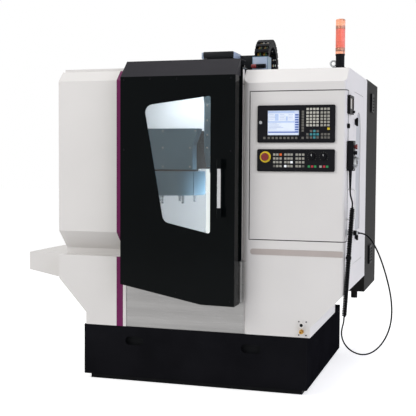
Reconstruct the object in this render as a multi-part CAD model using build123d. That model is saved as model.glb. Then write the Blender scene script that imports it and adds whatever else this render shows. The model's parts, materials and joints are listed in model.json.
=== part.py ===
from build123d import *
import math
import os

# Vertical machining centre, millimetres, +Z up.
# The origin is on the floor at the middle of the base, the operator stands on the -Y side.

# Shared by every piece
overrun = 5
touch = 0.3
running_fit = 0.05
sheet = 3

# Base, bed and enclosure planes
foot_gap = 30
base_width = 1314
base_depth = 1175
base_height = 290
base_wall = 4
base_flange = 45
slot_spacing = 688
slot_length = 112
slot_height = 48
slot_rise = 208
base_behind = 313
enclosure_depth = base_depth - base_behind
front = -base_depth / 2
back = front + enclosure_depth
base_top = foot_gap + base_height

# Bed casting and its two cross ways
sole_gap = 30
bed_half_width = 270
bed_top = 470
bed_front_gap = 90
bed_rear_gap = 15
bed_chamfer = 30
rail_width = 24
rail_height = 22
rail_foot = 6
y_rail_spread = 190
rail_margin = 20

# Saddle and table
y_travel = 125
x_travel = 250
carriage_width = 60
carriage_length = 90
carriage_height = 30
saddle_half_depth = 130
saddle_height = 70
saddle_hollow = 34
saddle_hollow_half = 60
x_rail_spread = 92
table_carriage_spread = 105
saddle_half_width = table_carriage_spread + carriage_length / 2 + x_travel + rail_margin
table_length = 800
table_depth = 280
table_height = 60
t_slot_pitch = 63
t_slot_width = 14
t_slot_wide = 24
t_slot_neck = 12
t_slot_depth = 24
table_trough = 16
table_rim = 14

# Column and vertical ways
column_depth = 222
column_gap = 0.5
throat = base_depth / 2 - base_flange - column_depth - column_gap
column_half_width = 150
column_foot_half = 240
column_foot_height = 90
column_taper_height = 240
column_top = 1820
channel_half = 45
channel_depth = 75
channel_floor = 600
window_half = 80
window_depth = 60
window_height = 260
window_rows = 3
z_rail_spread = 105
z_travel = 330
z_screw_radius = 16
z_screw_setback = 36
z_motor_half = 55
z_motor_height = 90
z_motor_flange = 14
z_motor_corner = 12

# Head, spindle and its tool
head_half_width = 85
head_front = 110
head_top = 1630
head_height = 395
head_bottom = head_top - head_height
head_nose_half = 62
head_nose_taper = 95
head_plate_half = 140
head_plate = 28
head_plate_rise = 55
head_plate_drop = 70
head_plate_bottom = head_bottom + head_plate_rise
head_plate_top = head_top - head_plate_drop
head_edge = 12
nut_half = 36
nut_rise = 110
nut_bottom = head_plate_bottom + nut_rise
nut_height = 80
cartridge_radius = 75
cartridge_collar_radius = 58
cartridge_height = 34
cartridge_collar = 22
spindle_radius = 36
spindle_drop = 14
spindle_depth = 40
taper_mouth_radius = 22
taper_end_radius = 14
taper_length = 30
holder_flange_radius = 31
holder_flange = 16
holder_groove = 6
holder_body_radius = 25
holder_body = 34
collet_radius = 19
collet_length = 24
cutter_radius = 8
cutter_length = 52
motor_half = 92
motor_height = 303
motor_corner = 15
motor_flange_half = 84
motor_flange = 18
motor_fan = 36
motor_fan_inset = 10

# Cable chain arm, box and chain on the head's right
arm_post_left = 50
arm_post_back = 210
arm_back = 200
arm_front = 135
arm_rise = 145
arm_plate = 15
arm_right = 255
arm_reach = 160
box_front = 35
box_left = 180
box_right = 278
box_depth = 92
box_height = 122
chain_left = 165
chain_thick = 50
chain_radius = 125
chain_rise = 415
chain_arc_top = head_top + chain_rise
chain_links = 12
chain_link_gap = 3
chain_core_inset = 7
chain_pitch = 42
chain_fixed_links = 9
chain_shelf = 20

# Tool changer
changer_x = -330
disc_radius = 190
disc_height = 18
disc_drop = 113
disc_bottom = head_bottom - disc_drop
disc_pockets = 8
pocket_radius = 165
pocket_bore = 21
hub_radius = 42
changer_shaft_radius = 18
guard_radius = 215
guard_drop = 175
guard_height = 147
guard_bottom = head_bottom - guard_drop
guard_top = guard_bottom + guard_height
guard_wall = 2
changer_front = -187
changer_depth = 80
changer_boss = 12
changer_neck = 148
changer_height = 248
changer_bottom = guard_top + changer_boss
changer_neck_top = changer_bottom + changer_neck
changer_top = changer_bottom + changer_height
changer_left = -545
changer_neck_right = -129
changer_shoulder_right = -92
changer_boss_radius = 45
changer_arm_left = -400
changer_arm_right = -225
changer_arm = 121
changer_arm_bottom = changer_bottom
changer_arm_top = changer_arm_bottom + changer_arm
changer_arm_back = 430
changer_foot_front = 345
stored_flange_radius = 27
stored_flange = 14
stored_neck_radius = 20.5
stored_shank_radius = 9
stored_reach = 112
stored_tip = disc_bottom - stored_reach

# Left housing, lower panel and side wing
housing_left = -819
housing_bottom = 860
housing_top = 1784
housing_bevel = 58
recess_setback = 107
ledge = 720
lower_corner = 580
lower_foot_margin = 11
lower_foot_left = -base_width / 2 + lower_foot_margin
lower_foot_top = 388
opening_left = -396
strip_left = -455
strip_right = -415
strip_depth = 1.5
wing_left = -1069
wing_knee = -881
wing_bottom = 574
wing_end_bottom = 610
wing_top = 717
wing_back_gap = 82

# Door frame with its top rail, and the steel apron
opening_right = 286
frame_plate = 6
frame_jamb = 36
frame_sill = 40
frame_lintel = 94
lintel_depth = 95
door_rail_setback = 66
door_rail_width = 16
door_rail_height = 16
door_rail_margin = 9
apron_setback = 4
apron_sheet = 2.5
apron_lip = 60

# Sliding door, window, hood and handle
door_left = -386
door_right = 276
door_gap = 6
door_depth = 104
door_sheet = 2.5
door_top = 1733
door_low_left = 579
door_kink_x = 87
door_low_kink = 487
door_low_right = 484
door_travel = 430
window_right = 139
window_top_right = 1623
window_top_left_x = -247
window_top_left = 1575
window_low_left_x = -132
window_low_left = 935
window_low_right = 875
window_big_radius = 46
window_small_radius = 12
window_lap = 14
window_glass = 6
hood_top = 1828
hood_back = 100
hood_edge_setback = 98
hood_sheet = 3
runner_length = 70
runner_wall = 10
runner_lap = 8
runner_shares = (0.13, 0.87)
handle_x = 201
handle_low = 969
handle_high = 1282
handle_radius = 11
handle_standoff = 46
handle_end = 52
handle_end_radius = 14
handle_post_half = 8
handle_post_height = 30

# Right cabinet
cabinet_right = 852
cabinet_top = 1774
cabinet_bevel = 78
cabinet_wall = 4
cabinet_left_radius = 40
cabinet_right_radius = 22
skirt_overhang = 15
skirt_right = base_width / 2 + skirt_overhang
skirt_top = 373
slant_top = 563
pocket_low = 490
pocket_high = 760
pocket_gap = 4
groove_left = 335
groove_low = 761
groove_height = 34
groove_depth = 1.5
groove_end_gap = 8

# Control cover and the two operator units
cover_sheet = 2
cover_seam = 3
cover_left = 330
cover_low = 846
cover_high = 1648
cover_wrap = 65
cover_land = 30
unit_width = 421
unit_left = 373
unit_depth = 10
unit_radius = 8
operator_low = 1372
operator_height = 200
machine_low = 1217
machine_height = 120
screen_left = 56
screen_top = 28
screen_width = 172
screen_height = 132
screen_sunk = 3
key_width = 13
key_height = 12
key_proud = 2
estop_left = 46
estop_top = 42
collar_radius = 30
collar_height = 5
collar_bore_radius = 13
estop_radius = 21
estop_cap = 13
estop_travel = 5
estop_stem_radius = 12.5
estop_sink = 4
feed_knob_left = 300
speed_knob_left = 363
knob_top = 39
knob_radius = 19
knob_height = 20
knob_skirt = 5
knob_grip_radius = 14
knob_mark_width = 3
knob_mark_depth = 1.5

# Supply plate low on the front of the cabinet
plate_margin = 69
plate_left = skirt_right - plate_margin
plate_width = 56
plate_low = 326
plate_height = 89
plate_thick = 3
socket_inset = 24
socket_x = plate_left + socket_inset
socket_z = 390
socket_radius = 14
socket_depth = 16
socket_bore_radius = 9
coupling_z = 354
coupling_hex_radius = 13
coupling_hex = 12
coupling_tail_radius = 8
coupling_tail = 22
coupling_bore_radius = 5

# Side access door and its latches
side_door_front = 280
side_door_margin = 172
side_door_rear = enclosure_depth - side_door_margin
side_door_low = 693
side_door_high = 1661
side_door_gap = 2
side_door_thick = 14
side_frame = 12
trough_front = 390
trough_margin = 100
trough_rear = side_door_rear - trough_margin
trough_low = 877
trough_high = 1557
trough_depth = 6
latch_radius = 17
latch_base = 6
latch_bar_length = 46
latch_bar_width = 9
latch_bar_height = 12
upper_latch_setback = 334
upper_latch_height = 1495
lower_latch_setback = 404
lower_latch_height = 846

# Service box on the cabinet's side
service_front = 24
service_rear = 168
service_low = 1526
service_high = 1625
service_depth = 16
service_window_rim = 14
service_window_depth = 4
service_radius = 6
service_knob_radius = 7
service_knob_height = 10

# Hand pendant on the cabinet's side, its hook, socket and cord
pendant_front = 24
pendant_width = 80
pendant_low = 1223
pendant_height = 160
pendant_foot = 4
pendant_foot_radius = 16
pendant_thick = 32
pendant_round = 10
wheel_rise = 47
wheel_radius = 30
wheel_height = 14
wheel_crank_radius = 5
wheel_crank_height = 14
wheel_crank_reach = 19.5
wheel_rim = 4
wheel_boss_radius = 14
selector_rise = 96
selector_radius = 10
selector_height = 16
selector_side = 18
pendant_stop_rise = 128
pendant_stop_radius = 14
pendant_stop_neck_radius = 9
pendant_stop_neck = 7
pendant_stop_cap = 9
pendant_stop_travel = 4
pendant_stop_sink = 5
relief_length = 96
relief_top_radius = 9
relief_end_radius = 5
relief_setback = 10
hook_setback = 48
hook_low = 965
hook_high = 1125
hook_reach = 46
hook_wire_radius = 3.5
hook_bend = 14
plug_setback = 55
plug_height = 892
plug_flange = 36
plug_flange_thick = 5
plug_body_radius = 14
plug_body = 34
plug_nut_radius = 11
plug_nut = 24
cord_radius = 3.75
coil_radius = 10

# The cord's route: a lead down to the curly part, and a tail that loops back to the plug
lead_route = (
    (872, -553.5, 1127),
    (872, -553.5, 1107),
    (879, -566, 1081),
    (889.43, -577.5, 1056),
    (888, -577.5, 1032),
)
coil_route = ((888, -577.5, 1032), (853, -577.5, 443))
tail_route = (
    (853, -577.5, 443),
    (851.34, -577.5, 415),
    (842, -577.5, 383),
    (839, -577, 347),
    (850, -577, 309),
    (876, -577, 275),
    (914, -577, 253),
    (960, -577, 246),
    (1004, -576, 262),
    (1044, -574, 298),
    (1076, -572, 350),
    (1098, -569, 414),
    (1104, -566, 490),
    (1094, -562, 572),
    (1072, -556, 660),
    (1044, -549, 744),
    (1014, -541, 812),
    (982, -534.5, 864),
    (946, -532.5, 892),
    (915, -532.5, 892),
)

# Rear electrical cabinet
rear_depth = 468
rear_low = 460
rear_top = 1780
rear_door_depth = 105
rear_door_gap = 0.5
rear_lip = 24
vent_margin = 179
vent_setback = enclosure_depth + vent_margin
vent_size = 118
lower_vent_low = 617
upper_vent_low = 1589
vent_depth = 12
vent_rim = 11
vent_slats = 5
gland_x = 786
gland_margin = 38
gland_setback = enclosure_depth + gland_margin
gland_radius = 20
gland_length = 44
rack_margin = 40
rack_standoff = 18
rack_sheet = 4
rack_spacer_radius = 9
drive_width = 74
drive_depth = 180
drive_height = 340
drive_rise = 700
drive_count = 5
drive_fins = 4
drive_fin_depth = 12
duct_height = 60
duct_depth = 70

# Signal lamp and lifting eyes on the cabinet's roof
lamp_x = 784
lamp_setback = 200
lamp_radius = 26
lamp_foot_radius = 31
lamp_foot = 14
lamp_bottom = 1860
lamp_top = 2050
lamp_ring = 8
lamp_base_radius = 24
right_eye_x = 742
right_eye_setback = 230
left_eye_x = 400
left_eye_margin = 102
left_eye_setback = enclosure_depth - left_eye_margin
eye_ring_radius = 15
eye_wire_radius = 5
eye_shank_radius = 7
eye_collar_radius = 14
eye_collar = 8
eye_shank = 24


# Small helpers for shapes

def block(x0, x1, y0, y1, z0, z1):
    """A box between two corners."""
    place = Pos((x0 + x1) / 2, (y0 + y1) / 2, (z0 + z1) / 2)
    return place * Box(x1 - x0, y1 - y0, z1 - z0)


def face_of(points):
    """A flat face with the given corners."""
    return make_face(Polyline(*points, close=True))


def prism_x(points, x0, x1):
    """A (y, z) outline carried along X."""
    plane = Plane(origin=(x0, 0, 0), x_dir=(0, 1, 0), z_dir=(1, 0, 0))
    return extrude(plane * face_of(points), amount=x1 - x0)


def prism_y(points, y0, y1):
    """An (x, z) outline carried along Y."""
    return carry_y(face_of(points), y0, y1)


def carry_y(sketch, y0, y1):
    """An (x, z) sketch carried along Y."""
    plane = Plane(origin=(0, y1, 0), x_dir=(1, 0, 0), z_dir=(0, -1, 0))
    return extrude(plane * sketch, amount=y1 - y0)


def prism_z(points, z0, z1):
    """An (x, y) outline carried along Z."""
    return extrude(Plane.XY.offset(z0) * face_of(points), amount=z1 - z0)


def rod(start, direction, radius, length):
    """A cylinder that starts at a point and runs along a direction."""
    plane = Plane(origin=start, z_dir=direction)
    return plane * Cylinder(radius, length, align=(Align.CENTER, Align.CENTER, Align.MIN))


def cone(start, direction, radius, end_radius, length):
    """A tapered rod."""
    plane = Plane(origin=start, z_dir=direction)
    return plane * Cone(radius, end_radius, length, align=(Align.CENTER, Align.CENTER, Align.MIN))


def inset(points, distance):
    """A closed anticlockwise outline moved inwards by one distance on every side."""
    moved = []
    count = len(points)
    for i in range(count):
        before = Vector(*points[i - 1])
        here = Vector(*points[i])
        after = Vector(*points[(i + 1) % count])
        a = (here - before).normalized()
        b = (after - here).normalized()
        left_a = Vector(-a.Y, a.X)
        left_b = Vector(-b.Y, b.X)
        mitre = (left_a + left_b) * (distance / (1 + left_a.dot(left_b)))
        moved.append(((here + mitre).X, (here + mitre).Y))
    return moved


def folded(points, thickness):
    """The outline of a sheet folded along an open line, with its thickness on the line's left."""
    inner = []
    for i, point in enumerate(points):
        here = Vector(*point)
        a = (here - Vector(*points[i - 1])).normalized() if i > 0 else None
        b = (Vector(*points[i + 1]) - here).normalized() if i + 1 < len(points) else None
        a = a or b
        b = b or a
        left_a = Vector(-a.Y, a.X)
        left_b = Vector(-b.Y, b.X)
        mitre = (left_a + left_b) * (thickness / (1 + left_a.dot(left_b)))
        inner.append(((here + mitre).X, (here + mitre).Y))
    return list(points) + inner[::-1]


# Foundation and castings

def plinth():
    """Black sheet skirt round the foot of the machine, with two oval hand slots."""
    half_w = base_width / 2
    half_d = base_depth / 2
    body = block(-half_w, half_w, -half_d, half_d, foot_gap, base_top)
    body -= block(-half_w + base_wall, half_w - base_wall, -half_d + base_wall, half_d - base_wall,
                  foot_gap - overrun, base_top - base_wall)
    body -= block(-half_w + base_flange, half_w - base_flange, -half_d + base_flange, half_d - base_flange,
                  foot_gap - overrun, base_top + overrun)
    for side in (-1, 1):
        slot = Pos(side * slot_spacing / 2, foot_gap + slot_rise) * SlotOverall(slot_length, slot_height)
        body -= carry_y(slot, front - overrun, front + base_wall + overrun)
    return body


def bed_casting():
    """Cast bed: a broad sole inside the skirt, a raised deck and two cross ways."""
    sole_x = base_width / 2 - sole_gap
    sole_y = base_depth / 2 - sole_gap
    low = block(-sole_x, sole_x, -sole_y, sole_y, 0, base_top - base_wall)
    deck_front = front + bed_front_gap
    deck_back = -front - bed_rear_gap - sole_gap
    outline = (
        (-bed_half_width, base_top - base_wall - overrun),
        (bed_half_width, base_top - base_wall - overrun),
        (bed_half_width, bed_top - bed_chamfer),
        (bed_half_width - bed_chamfer, bed_top),
        (-bed_half_width + bed_chamfer, bed_top),
        (-bed_half_width, bed_top - bed_chamfer),
    )
    body = low + prism_y(outline, deck_front, deck_back)
    reach = saddle_half_depth + y_travel + rail_margin
    for side in (-1, 1):
        x = side * y_rail_spread
        body += block(x - rail_width / 2, x + rail_width / 2, -reach, reach, bed_top, bed_top + rail_height)
    return body


def carriage(along_x):
    """A guide block with a groove that runs on a rail, its top at z = 0."""
    half_l = carriage_length / 2
    half_w = carriage_width / 2
    groove = rail_width / 2 + running_fit
    reach = rail_height - rail_foot + running_fit
    body = block(-half_w, half_w, -half_l, half_l, -carriage_height, 0)
    body -= block(-groove, groove, -half_l - overrun, half_l + overrun,
                  -carriage_height - overrun, -carriage_height + reach)
    return Rot(0, 0, 90) * body if along_x else body


def saddle():
    """Cast saddle with four guide blocks below and the two table ways on top."""
    low = bed_top + rail_foot + carriage_height
    high = low + saddle_height
    body = block(-saddle_half_width, saddle_half_width, -saddle_half_depth, saddle_half_depth, low, high)
    body -= block(-saddle_half_width - overrun, saddle_half_width + overrun, -saddle_hollow_half,
                  saddle_hollow_half, high - saddle_hollow, high + overrun)
    for side_x in (-1, 1):
        for side_y in (-1, 1):
            y = side_y * (saddle_half_depth - carriage_length / 2)
            body += Pos(side_x * y_rail_spread, y, low) * carriage(False)
    for side in (-1, 1):
        y = side * x_rail_spread
        body += block(-saddle_half_width, saddle_half_width, y - rail_width / 2, y + rail_width / 2,
                      high, high + rail_height)
    return body


def table_base_z():
    """Height of the table's underside."""
    return bed_top + rail_foot + carriage_height + saddle_height + rail_foot + carriage_height


def table():
    """Work table with three T-slots, a coolant trough all round and four guide blocks."""
    low = table_base_z()
    high = low + table_height
    half_l = table_length / 2
    half_d = table_depth / 2
    body = block(-half_l, half_l, -half_d, half_d, low, high)
    trough = block(-half_l + table_rim, half_l - table_rim, -half_d + table_rim, half_d - table_rim,
                   high - table_rim, high + overrun)
    inner = table_rim + table_trough
    trough -= block(-half_l + inner, half_l - inner, -half_d + inner, half_d - inner,
                    high - table_rim - overrun, high + 2 * overrun)
    body -= trough
    for row in (-1, 0, 1):
        y = row * t_slot_pitch
        body -= block(-half_l - overrun, half_l + overrun, y - t_slot_width / 2, y + t_slot_width / 2,
                      high - t_slot_depth, high + overrun)
        body -= block(-half_l - overrun, half_l + overrun, y - t_slot_wide / 2, y + t_slot_wide / 2,
                      high - t_slot_depth, high - t_slot_neck)
    for side_x in (-1, 1):
        for side_y in (-1, 1):
            body += Pos(side_x * table_carriage_spread, side_y * x_rail_spread, low) * carriage(True)
    return body


def z_rail_bottom():
    """Foot of the upright ways, just below the lowest guide block's reach."""
    return head_plate_bottom - z_travel - rail_margin


def column():
    """Cast column with flared foot, screw channel, cored back windows and two upright ways."""
    outline = (
        (-column_foot_half, bed_top),
        (column_foot_half, bed_top),
        (column_foot_half, bed_top + column_foot_height),
        (column_half_width, bed_top + column_foot_height + column_taper_height),
        (column_half_width, column_top),
        (-column_half_width, column_top),
        (-column_half_width, bed_top + column_foot_height + column_taper_height),
        (-column_foot_half, bed_top + column_foot_height),
    )
    rear = throat + column_depth
    body = prism_y(outline, throat, rear)
    body -= block(-channel_half, channel_half, throat - overrun, throat + channel_depth,
                  channel_floor, column_top + overrun)
    pitch = (column_top - z_rail_bottom()) / window_rows
    for row in range(window_rows):
        mid = z_rail_bottom() + (row + 1 / 2) * pitch
        body -= block(-window_half, window_half, rear - window_depth, rear + overrun,
                      mid - window_height / 2, mid + window_height / 2)
    for side in (-1, 1):
        x = side * z_rail_spread
        body += block(x - rail_width / 2, x + rail_width / 2, throat - rail_height, throat,
                      z_rail_bottom(), column_top - rail_margin)
    shelf_top = chain_foot_z()
    body += block(column_half_width, arm_right, chain_rear_y(), chain_rear_y() + chain_thick,
                  shelf_top - chain_shelf, shelf_top)
    return body


def z_screw():
    """Ball screw that lifts the head, standing in the column's channel."""
    y = throat + z_screw_setback
    length = column_top - channel_floor
    return rod((0, y, channel_floor + touch), (0, 0, 1), z_screw_radius, length - 2 * touch)


def z_motor():
    """Servo motor on top of the column, over the ball screw."""
    y = throat + z_screw_setback
    flange_half = z_motor_half + z_motor_corner
    body = block(-flange_half, flange_half, y - z_screw_setback, y + flange_half,
                 column_top, column_top + z_motor_flange)
    sketch = Pos(0, y) * RectangleRounded(2 * z_motor_half, z_screw_setback + z_motor_half, z_motor_corner)
    body += extrude(Plane.XY.offset(column_top + z_motor_flange) * sketch, amount=z_motor_height)
    return body


# Head and spindle

def head_casting():
    """Milling head: a deep casting with a tapered nose, a back plate on guide blocks and the screw nut."""
    plate_back = throat - rail_foot - carriage_height
    plate_front = plate_back - head_plate
    side = (
        (-head_half_width, head_bottom + head_nose_taper),
        (-head_nose_half, head_bottom),
        (head_nose_half, head_bottom),
        (head_half_width, head_bottom + head_nose_taper),
        (head_half_width, head_top),
        (-head_half_width, head_top),
    )
    body = prism_y(side, -head_front, plate_front + overrun)
    front_edges = body.edges().filter_by(Axis.Z).group_by(Axis.Y)[0]
    body = chamfer(front_edges, head_edge)
    body += block(-head_plate_half, head_plate_half, plate_front, plate_back,
                  head_plate_bottom, head_plate_top)
    for level in (head_plate_bottom + carriage_length / 2, head_plate_top - carriage_length / 2):
        for side_x in (-1, 1):
            guide = Rot(-90, 0, 0) * carriage(False)
            body += Pos(side_x * z_rail_spread, plate_back, level) * Rot(0, 0, 180) * guide
    nut_y = throat + z_screw_setback
    nut = block(-nut_half, nut_half, plate_back - overrun, nut_y + nut_half,
                nut_bottom, nut_bottom + nut_height)
    nut -= rod((0, nut_y, nut_bottom - overrun), (0, 0, 1), z_screw_radius + running_fit,
               nut_height + 2 * overrun)
    return body + nut


def spindle_cartridge():
    """Bolted spindle cartridge under the head, bored for the turning nose."""
    body = rod((0, 0, head_bottom - cartridge_height), (0, 0, 1), cartridge_radius, cartridge_height)
    collar_low = head_bottom - cartridge_height - cartridge_collar
    body += rod((0, 0, collar_low), (0, 0, 1), cartridge_collar_radius, cartridge_collar)
    body -= rod((0, 0, collar_low - overrun), (0, 0, 1), spindle_radius + running_fit,
                spindle_depth + overrun)
    return body


def spindle_nose_z():
    """Height of the spindle's end face."""
    return head_bottom - cartridge_height - cartridge_collar - spindle_drop


def spindle_shaft():
    """Turning spindle nose with its taper bore."""
    nose = spindle_nose_z()
    length = spindle_drop + spindle_depth - touch
    body = rod((0, 0, nose), (0, 0, 1), spindle_radius, length)
    body -= cone((0, 0, nose), (0, 0, 1), taper_mouth_radius, taper_end_radius, taper_length)
    return body


def tool_holder():
    """Tapered holder with its grip groove, collet nut and end mill."""
    nose = spindle_nose_z()
    body = cone((0, 0, nose), (0, 0, 1), taper_mouth_radius, taper_end_radius, taper_length)
    body += rod((0, 0, nose - holder_flange), (0, 0, 1), holder_flange_radius, holder_flange)
    groove_low = nose - (holder_flange + holder_groove) / 2
    ring = rod((0, 0, groove_low), (0, 0, 1), holder_flange_radius + overrun, holder_groove)
    body -= ring - rod((0, 0, groove_low), (0, 0, 1), holder_body_radius, holder_groove)
    body_low = nose - holder_flange - holder_body
    body += rod((0, 0, body_low), (0, 0, 1), holder_body_radius, holder_body)
    body += rod((0, 0, body_low - collet_length), (0, 0, 1), collet_radius, collet_length)
    body += rod((0, 0, body_low - collet_length - cutter_length), (0, 0, 1), cutter_radius, cutter_length)
    return body


def octagon(half, corner):
    """A square outline with cut corners."""
    return (
        (-half + corner, -half), (half - corner, -half), (half, -half + corner), (half, half - corner),
        (half - corner, half), (-half + corner, half), (-half, half - corner), (-half, -half + corner),
    )


def spindle_motor():
    """Eight-sided spindle motor on the head, with its mounting flange and fan cowl."""
    body = block(-motor_flange_half, motor_flange_half, -motor_flange_half, motor_flange_half,
                 head_top, head_top + motor_flange)
    cowl_low = head_top + motor_height - motor_fan
    body += prism_z(octagon(motor_half, motor_corner), head_top + motor_flange, cowl_low - motor_fan_inset)
    neck = motor_half - motor_fan_inset
    body += prism_z(octagon(neck, motor_corner), cowl_low - motor_fan_inset, cowl_low)
    body += prism_z(octagon(motor_half, motor_corner), cowl_low, head_top + motor_height)
    return body


def arm_top_z():
    """Top of the arm that carries the cable chain."""
    return head_top + arm_rise + arm_plate


def junction_box():
    """Terminal box on a bent arm that stands on the head and carries the chain's moving end."""
    low = head_top + arm_rise
    high = arm_top_z()
    body = block(arm_post_left, head_half_width, arm_front, arm_post_back, head_top, high)
    body += block(arm_post_left, arm_right, arm_front, arm_back, low, high)
    body += block(arm_reach, arm_right, box_front, arm_back, low, high)
    body += block(box_left, box_right, box_front, box_front + box_depth, high, high + box_height)
    return body


def chain_rear_y():
    """Front face of the chain's fixed run."""
    return arm_front + 2 * chain_radius


def chain_mid_z():
    """Height of the chain's bend centre."""
    return chain_arc_top - chain_radius - chain_thick / 2


def chain_foot_z():
    """Foot of the chain's fixed run."""
    return chain_mid_z() - chain_fixed_links * chain_pitch


def link_at(y, z, angle, length):
    """One chain link: a full-width body between two narrower joints."""
    half_t = chain_thick / 2
    half_l = length / 2
    gap = chain_link_gap / 2
    body = block(chain_left, arm_right, -half_t, half_t, -half_l + gap, half_l - gap)
    body += block(chain_left + chain_core_inset, arm_right - chain_core_inset, -half_t + chain_core_inset,
                  half_t - chain_core_inset, -half_l - gap, half_l + gap)
    return Pos(0, y, z) * Rot(angle, 0, 0) * body


def energy_chain():
    """Cable chain: a bend over the top, a short run down to the head's arm, a long one to the column."""
    mid_y = arm_front + chain_thick / 2 + chain_radius
    mid_z = chain_mid_z()
    links = []
    arc_length = math.pi * chain_radius / chain_links
    for i in range(chain_links):
        angle = math.pi * (i + 1 / 2) / chain_links
        y = mid_y - chain_radius * math.cos(angle)
        z = mid_z + chain_radius * math.sin(angle)
        links.append(link_at(y, z, -math.degrees(angle), arc_length))
    run = mid_z - arm_top_z()
    count = max(1, round(run / chain_pitch))
    for i in range(count):
        z = arm_top_z() + (i + 1 / 2) * run / count
        links.append(link_at(mid_y - chain_radius, z, 0, run / count))
    for i in range(chain_fixed_links):
        z = chain_foot_z() + (i + 1 / 2) * chain_pitch
        links.append(link_at(mid_y + chain_radius, z, 0, chain_pitch))
    body = links[0].fuse(*links[1:])
    low = min(arm_top_z(), chain_foot_z())
    trim = block(chain_left - overrun, arm_right + overrun, arm_front - overrun, mid_y,
                 low - 2 * chain_pitch, arm_top_z())
    trim += block(chain_left - overrun, arm_right + overrun, mid_y, chain_rear_y() + chain_thick + overrun,
                  low - 2 * chain_pitch, chain_foot_z())
    return body - trim


# Tool changer

def changer_housing():
    """Tapered changer housing, its arm back to the column and the shaft that carries the disc."""
    outline = (
        (changer_left, changer_bottom),
        (changer_neck_right, changer_bottom),
        (changer_neck_right, changer_neck_top),
        (changer_shoulder_right, changer_top),
        (changer_left, changer_top),
    )
    body = prism_y(outline, changer_front, changer_front + changer_depth)
    body += block(changer_arm_left, changer_arm_right, changer_front + changer_depth, changer_arm_back,
                  changer_arm_bottom, changer_arm_top)
    body += block(changer_arm_right, -column_half_width, changer_foot_front, changer_arm_back,
                  changer_arm_bottom, changer_arm_top)
    body += rod((changer_x, 0, guard_top), (0, 0, 1), changer_boss_radius, changer_bottom - guard_top)
    body += rod((changer_x, 0, disc_bottom), (0, 0, 1), changer_shaft_radius, changer_bottom - disc_bottom)
    return body


def changer_guard():
    """Round sheet guard over the tool disc, open below."""
    body = rod((changer_x, 0, guard_bottom), (0, 0, 1), guard_radius, guard_top - guard_bottom)
    body -= rod((changer_x, 0, guard_bottom - overrun), (0, 0, 1), guard_radius - guard_wall,
                guard_top - guard_bottom - guard_wall + overrun)
    body -= rod((changer_x, 0, guard_bottom), (0, 0, 1), changer_boss_radius - sheet, guard_top)
    return body


def pocket_places():
    """Centres of the disc's pockets, the first one facing the spindle."""
    places = []
    for i in range(disc_pockets):
        angle = 2 * math.pi * i / disc_pockets
        places.append((changer_x + pocket_radius * math.cos(angle), pocket_radius * math.sin(angle), angle))
    return places


def tool_disc():
    """Tool disc with open-sided pockets round its rim and a hub that turns on the fixed shaft."""
    body = rod((changer_x, 0, disc_bottom), (0, 0, 1), disc_radius, disc_height)
    hub = guard_top - guard_wall - touch - disc_bottom
    body += rod((changer_x, 0, disc_bottom), (0, 0, 1), hub_radius, hub)
    body -= rod((changer_x, 0, disc_bottom - overrun), (0, 0, 1), changer_shaft_radius + touch, hub + 2 * overrun)
    for x, y, angle in pocket_places():
        body -= rod((x, y, disc_bottom - overrun), (0, 0, 1), pocket_bore, disc_height + 2 * overrun)
        reach = disc_radius - pocket_radius + overrun
        mouth = block(0, reach, -pocket_bore, pocket_bore, disc_bottom - overrun,
                      disc_bottom + disc_height + overrun)
        body -= Pos(x, y) * Rot(0, 0, math.degrees(angle)) * mouth
    return body


def stored_tools():
    """Tool holders in every pocket but the one whose tool is in the spindle."""
    tools = []
    for x, y, _ in pocket_places()[1:]:
        body = rod((x, y, disc_bottom + disc_height), (0, 0, 1), stored_flange_radius, stored_flange)
        body += rod((x, y, disc_bottom), (0, 0, 1), stored_neck_radius, disc_height)
        body += rod((x, y, stored_tip), (0, 0, 1), stored_shank_radius, disc_bottom - stored_tip)
        tools.append(body)
    return Compound(children=tools)


# Left side of the enclosure

def housing_profile():
    """Side view of the upper left housing, from its under-chamfer round to the back."""
    return (
        (front + recess_setback, ledge),
        (front + recess_setback, housing_bottom - recess_setback),
        (front, housing_bottom),
        (front, housing_top - housing_bevel),
        (front + housing_bevel, housing_top),
        (back, housing_top),
        (back, ledge),
    )


def strip_upper():
    """Accent strip that follows the upper housing's chamfer, face and bevel."""
    line = housing_profile()[1:5]
    return prism_x(folded(line[::-1], strip_depth), strip_left, strip_right)


def strip_lower():
    """Accent strip on the lower panel."""
    return block(strip_left, strip_right, front, front + strip_depth, base_top, ledge)


def accent_strips():
    """Both accent strips, let into the panels that carry them."""
    return Compound(children=[strip_upper(), strip_lower()])


def left_housing():
    """Upper left housing, a folded shell open to the work space, with the door rail's outer end."""
    outline = housing_profile()[::-1]
    body = prism_x(outline, housing_left, strip_right)
    inner = inset(outline, sheet)
    body -= prism_x(inner, housing_left + sheet, strip_right + overrun)
    body -= block(housing_left + sheet, strip_right + overrun, front + recess_setback + sheet, back - sheet,
                  ledge - overrun, ledge + sheet + overrun)
    rail_y = front + door_rail_setback
    body += block(door_left - door_travel + door_rail_margin, strip_right, rail_y, rail_y + door_rail_width,
                  housing_top - sheet, housing_top + door_rail_height)
    return body - strip_upper()


def left_lower_panel():
    """Lower left panel with its cut corner, ledge and slanting underside."""
    outline = (
        (lower_foot_left, base_top),
        (opening_left, base_top),
        (opening_left, ledge),
        (housing_left, ledge),
        (housing_left, lower_corner),
        (lower_foot_left, lower_foot_top),
    )
    body = prism_y(outline, front, back)
    inner = inset(outline, sheet)
    body -= prism_y(inner, front + sheet, back - sheet)
    body -= block(housing_left + sheet, opening_left - sheet, front + recess_setback + sheet, back - sheet,
                  ledge - sheet - overrun, ledge + overrun)
    body -= block(opening_left - 2 * sheet, opening_left + overrun, front + sheet, back - sheet,
                  base_top + sheet, ledge + overrun)
    body -= block(housing_left - overrun, housing_left + 2 * sheet, front + recess_setback + sheet,
                  back - wing_back_gap - sheet, lower_corner + sheet, ledge - 2 * sheet)
    return body - strip_lower()


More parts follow.
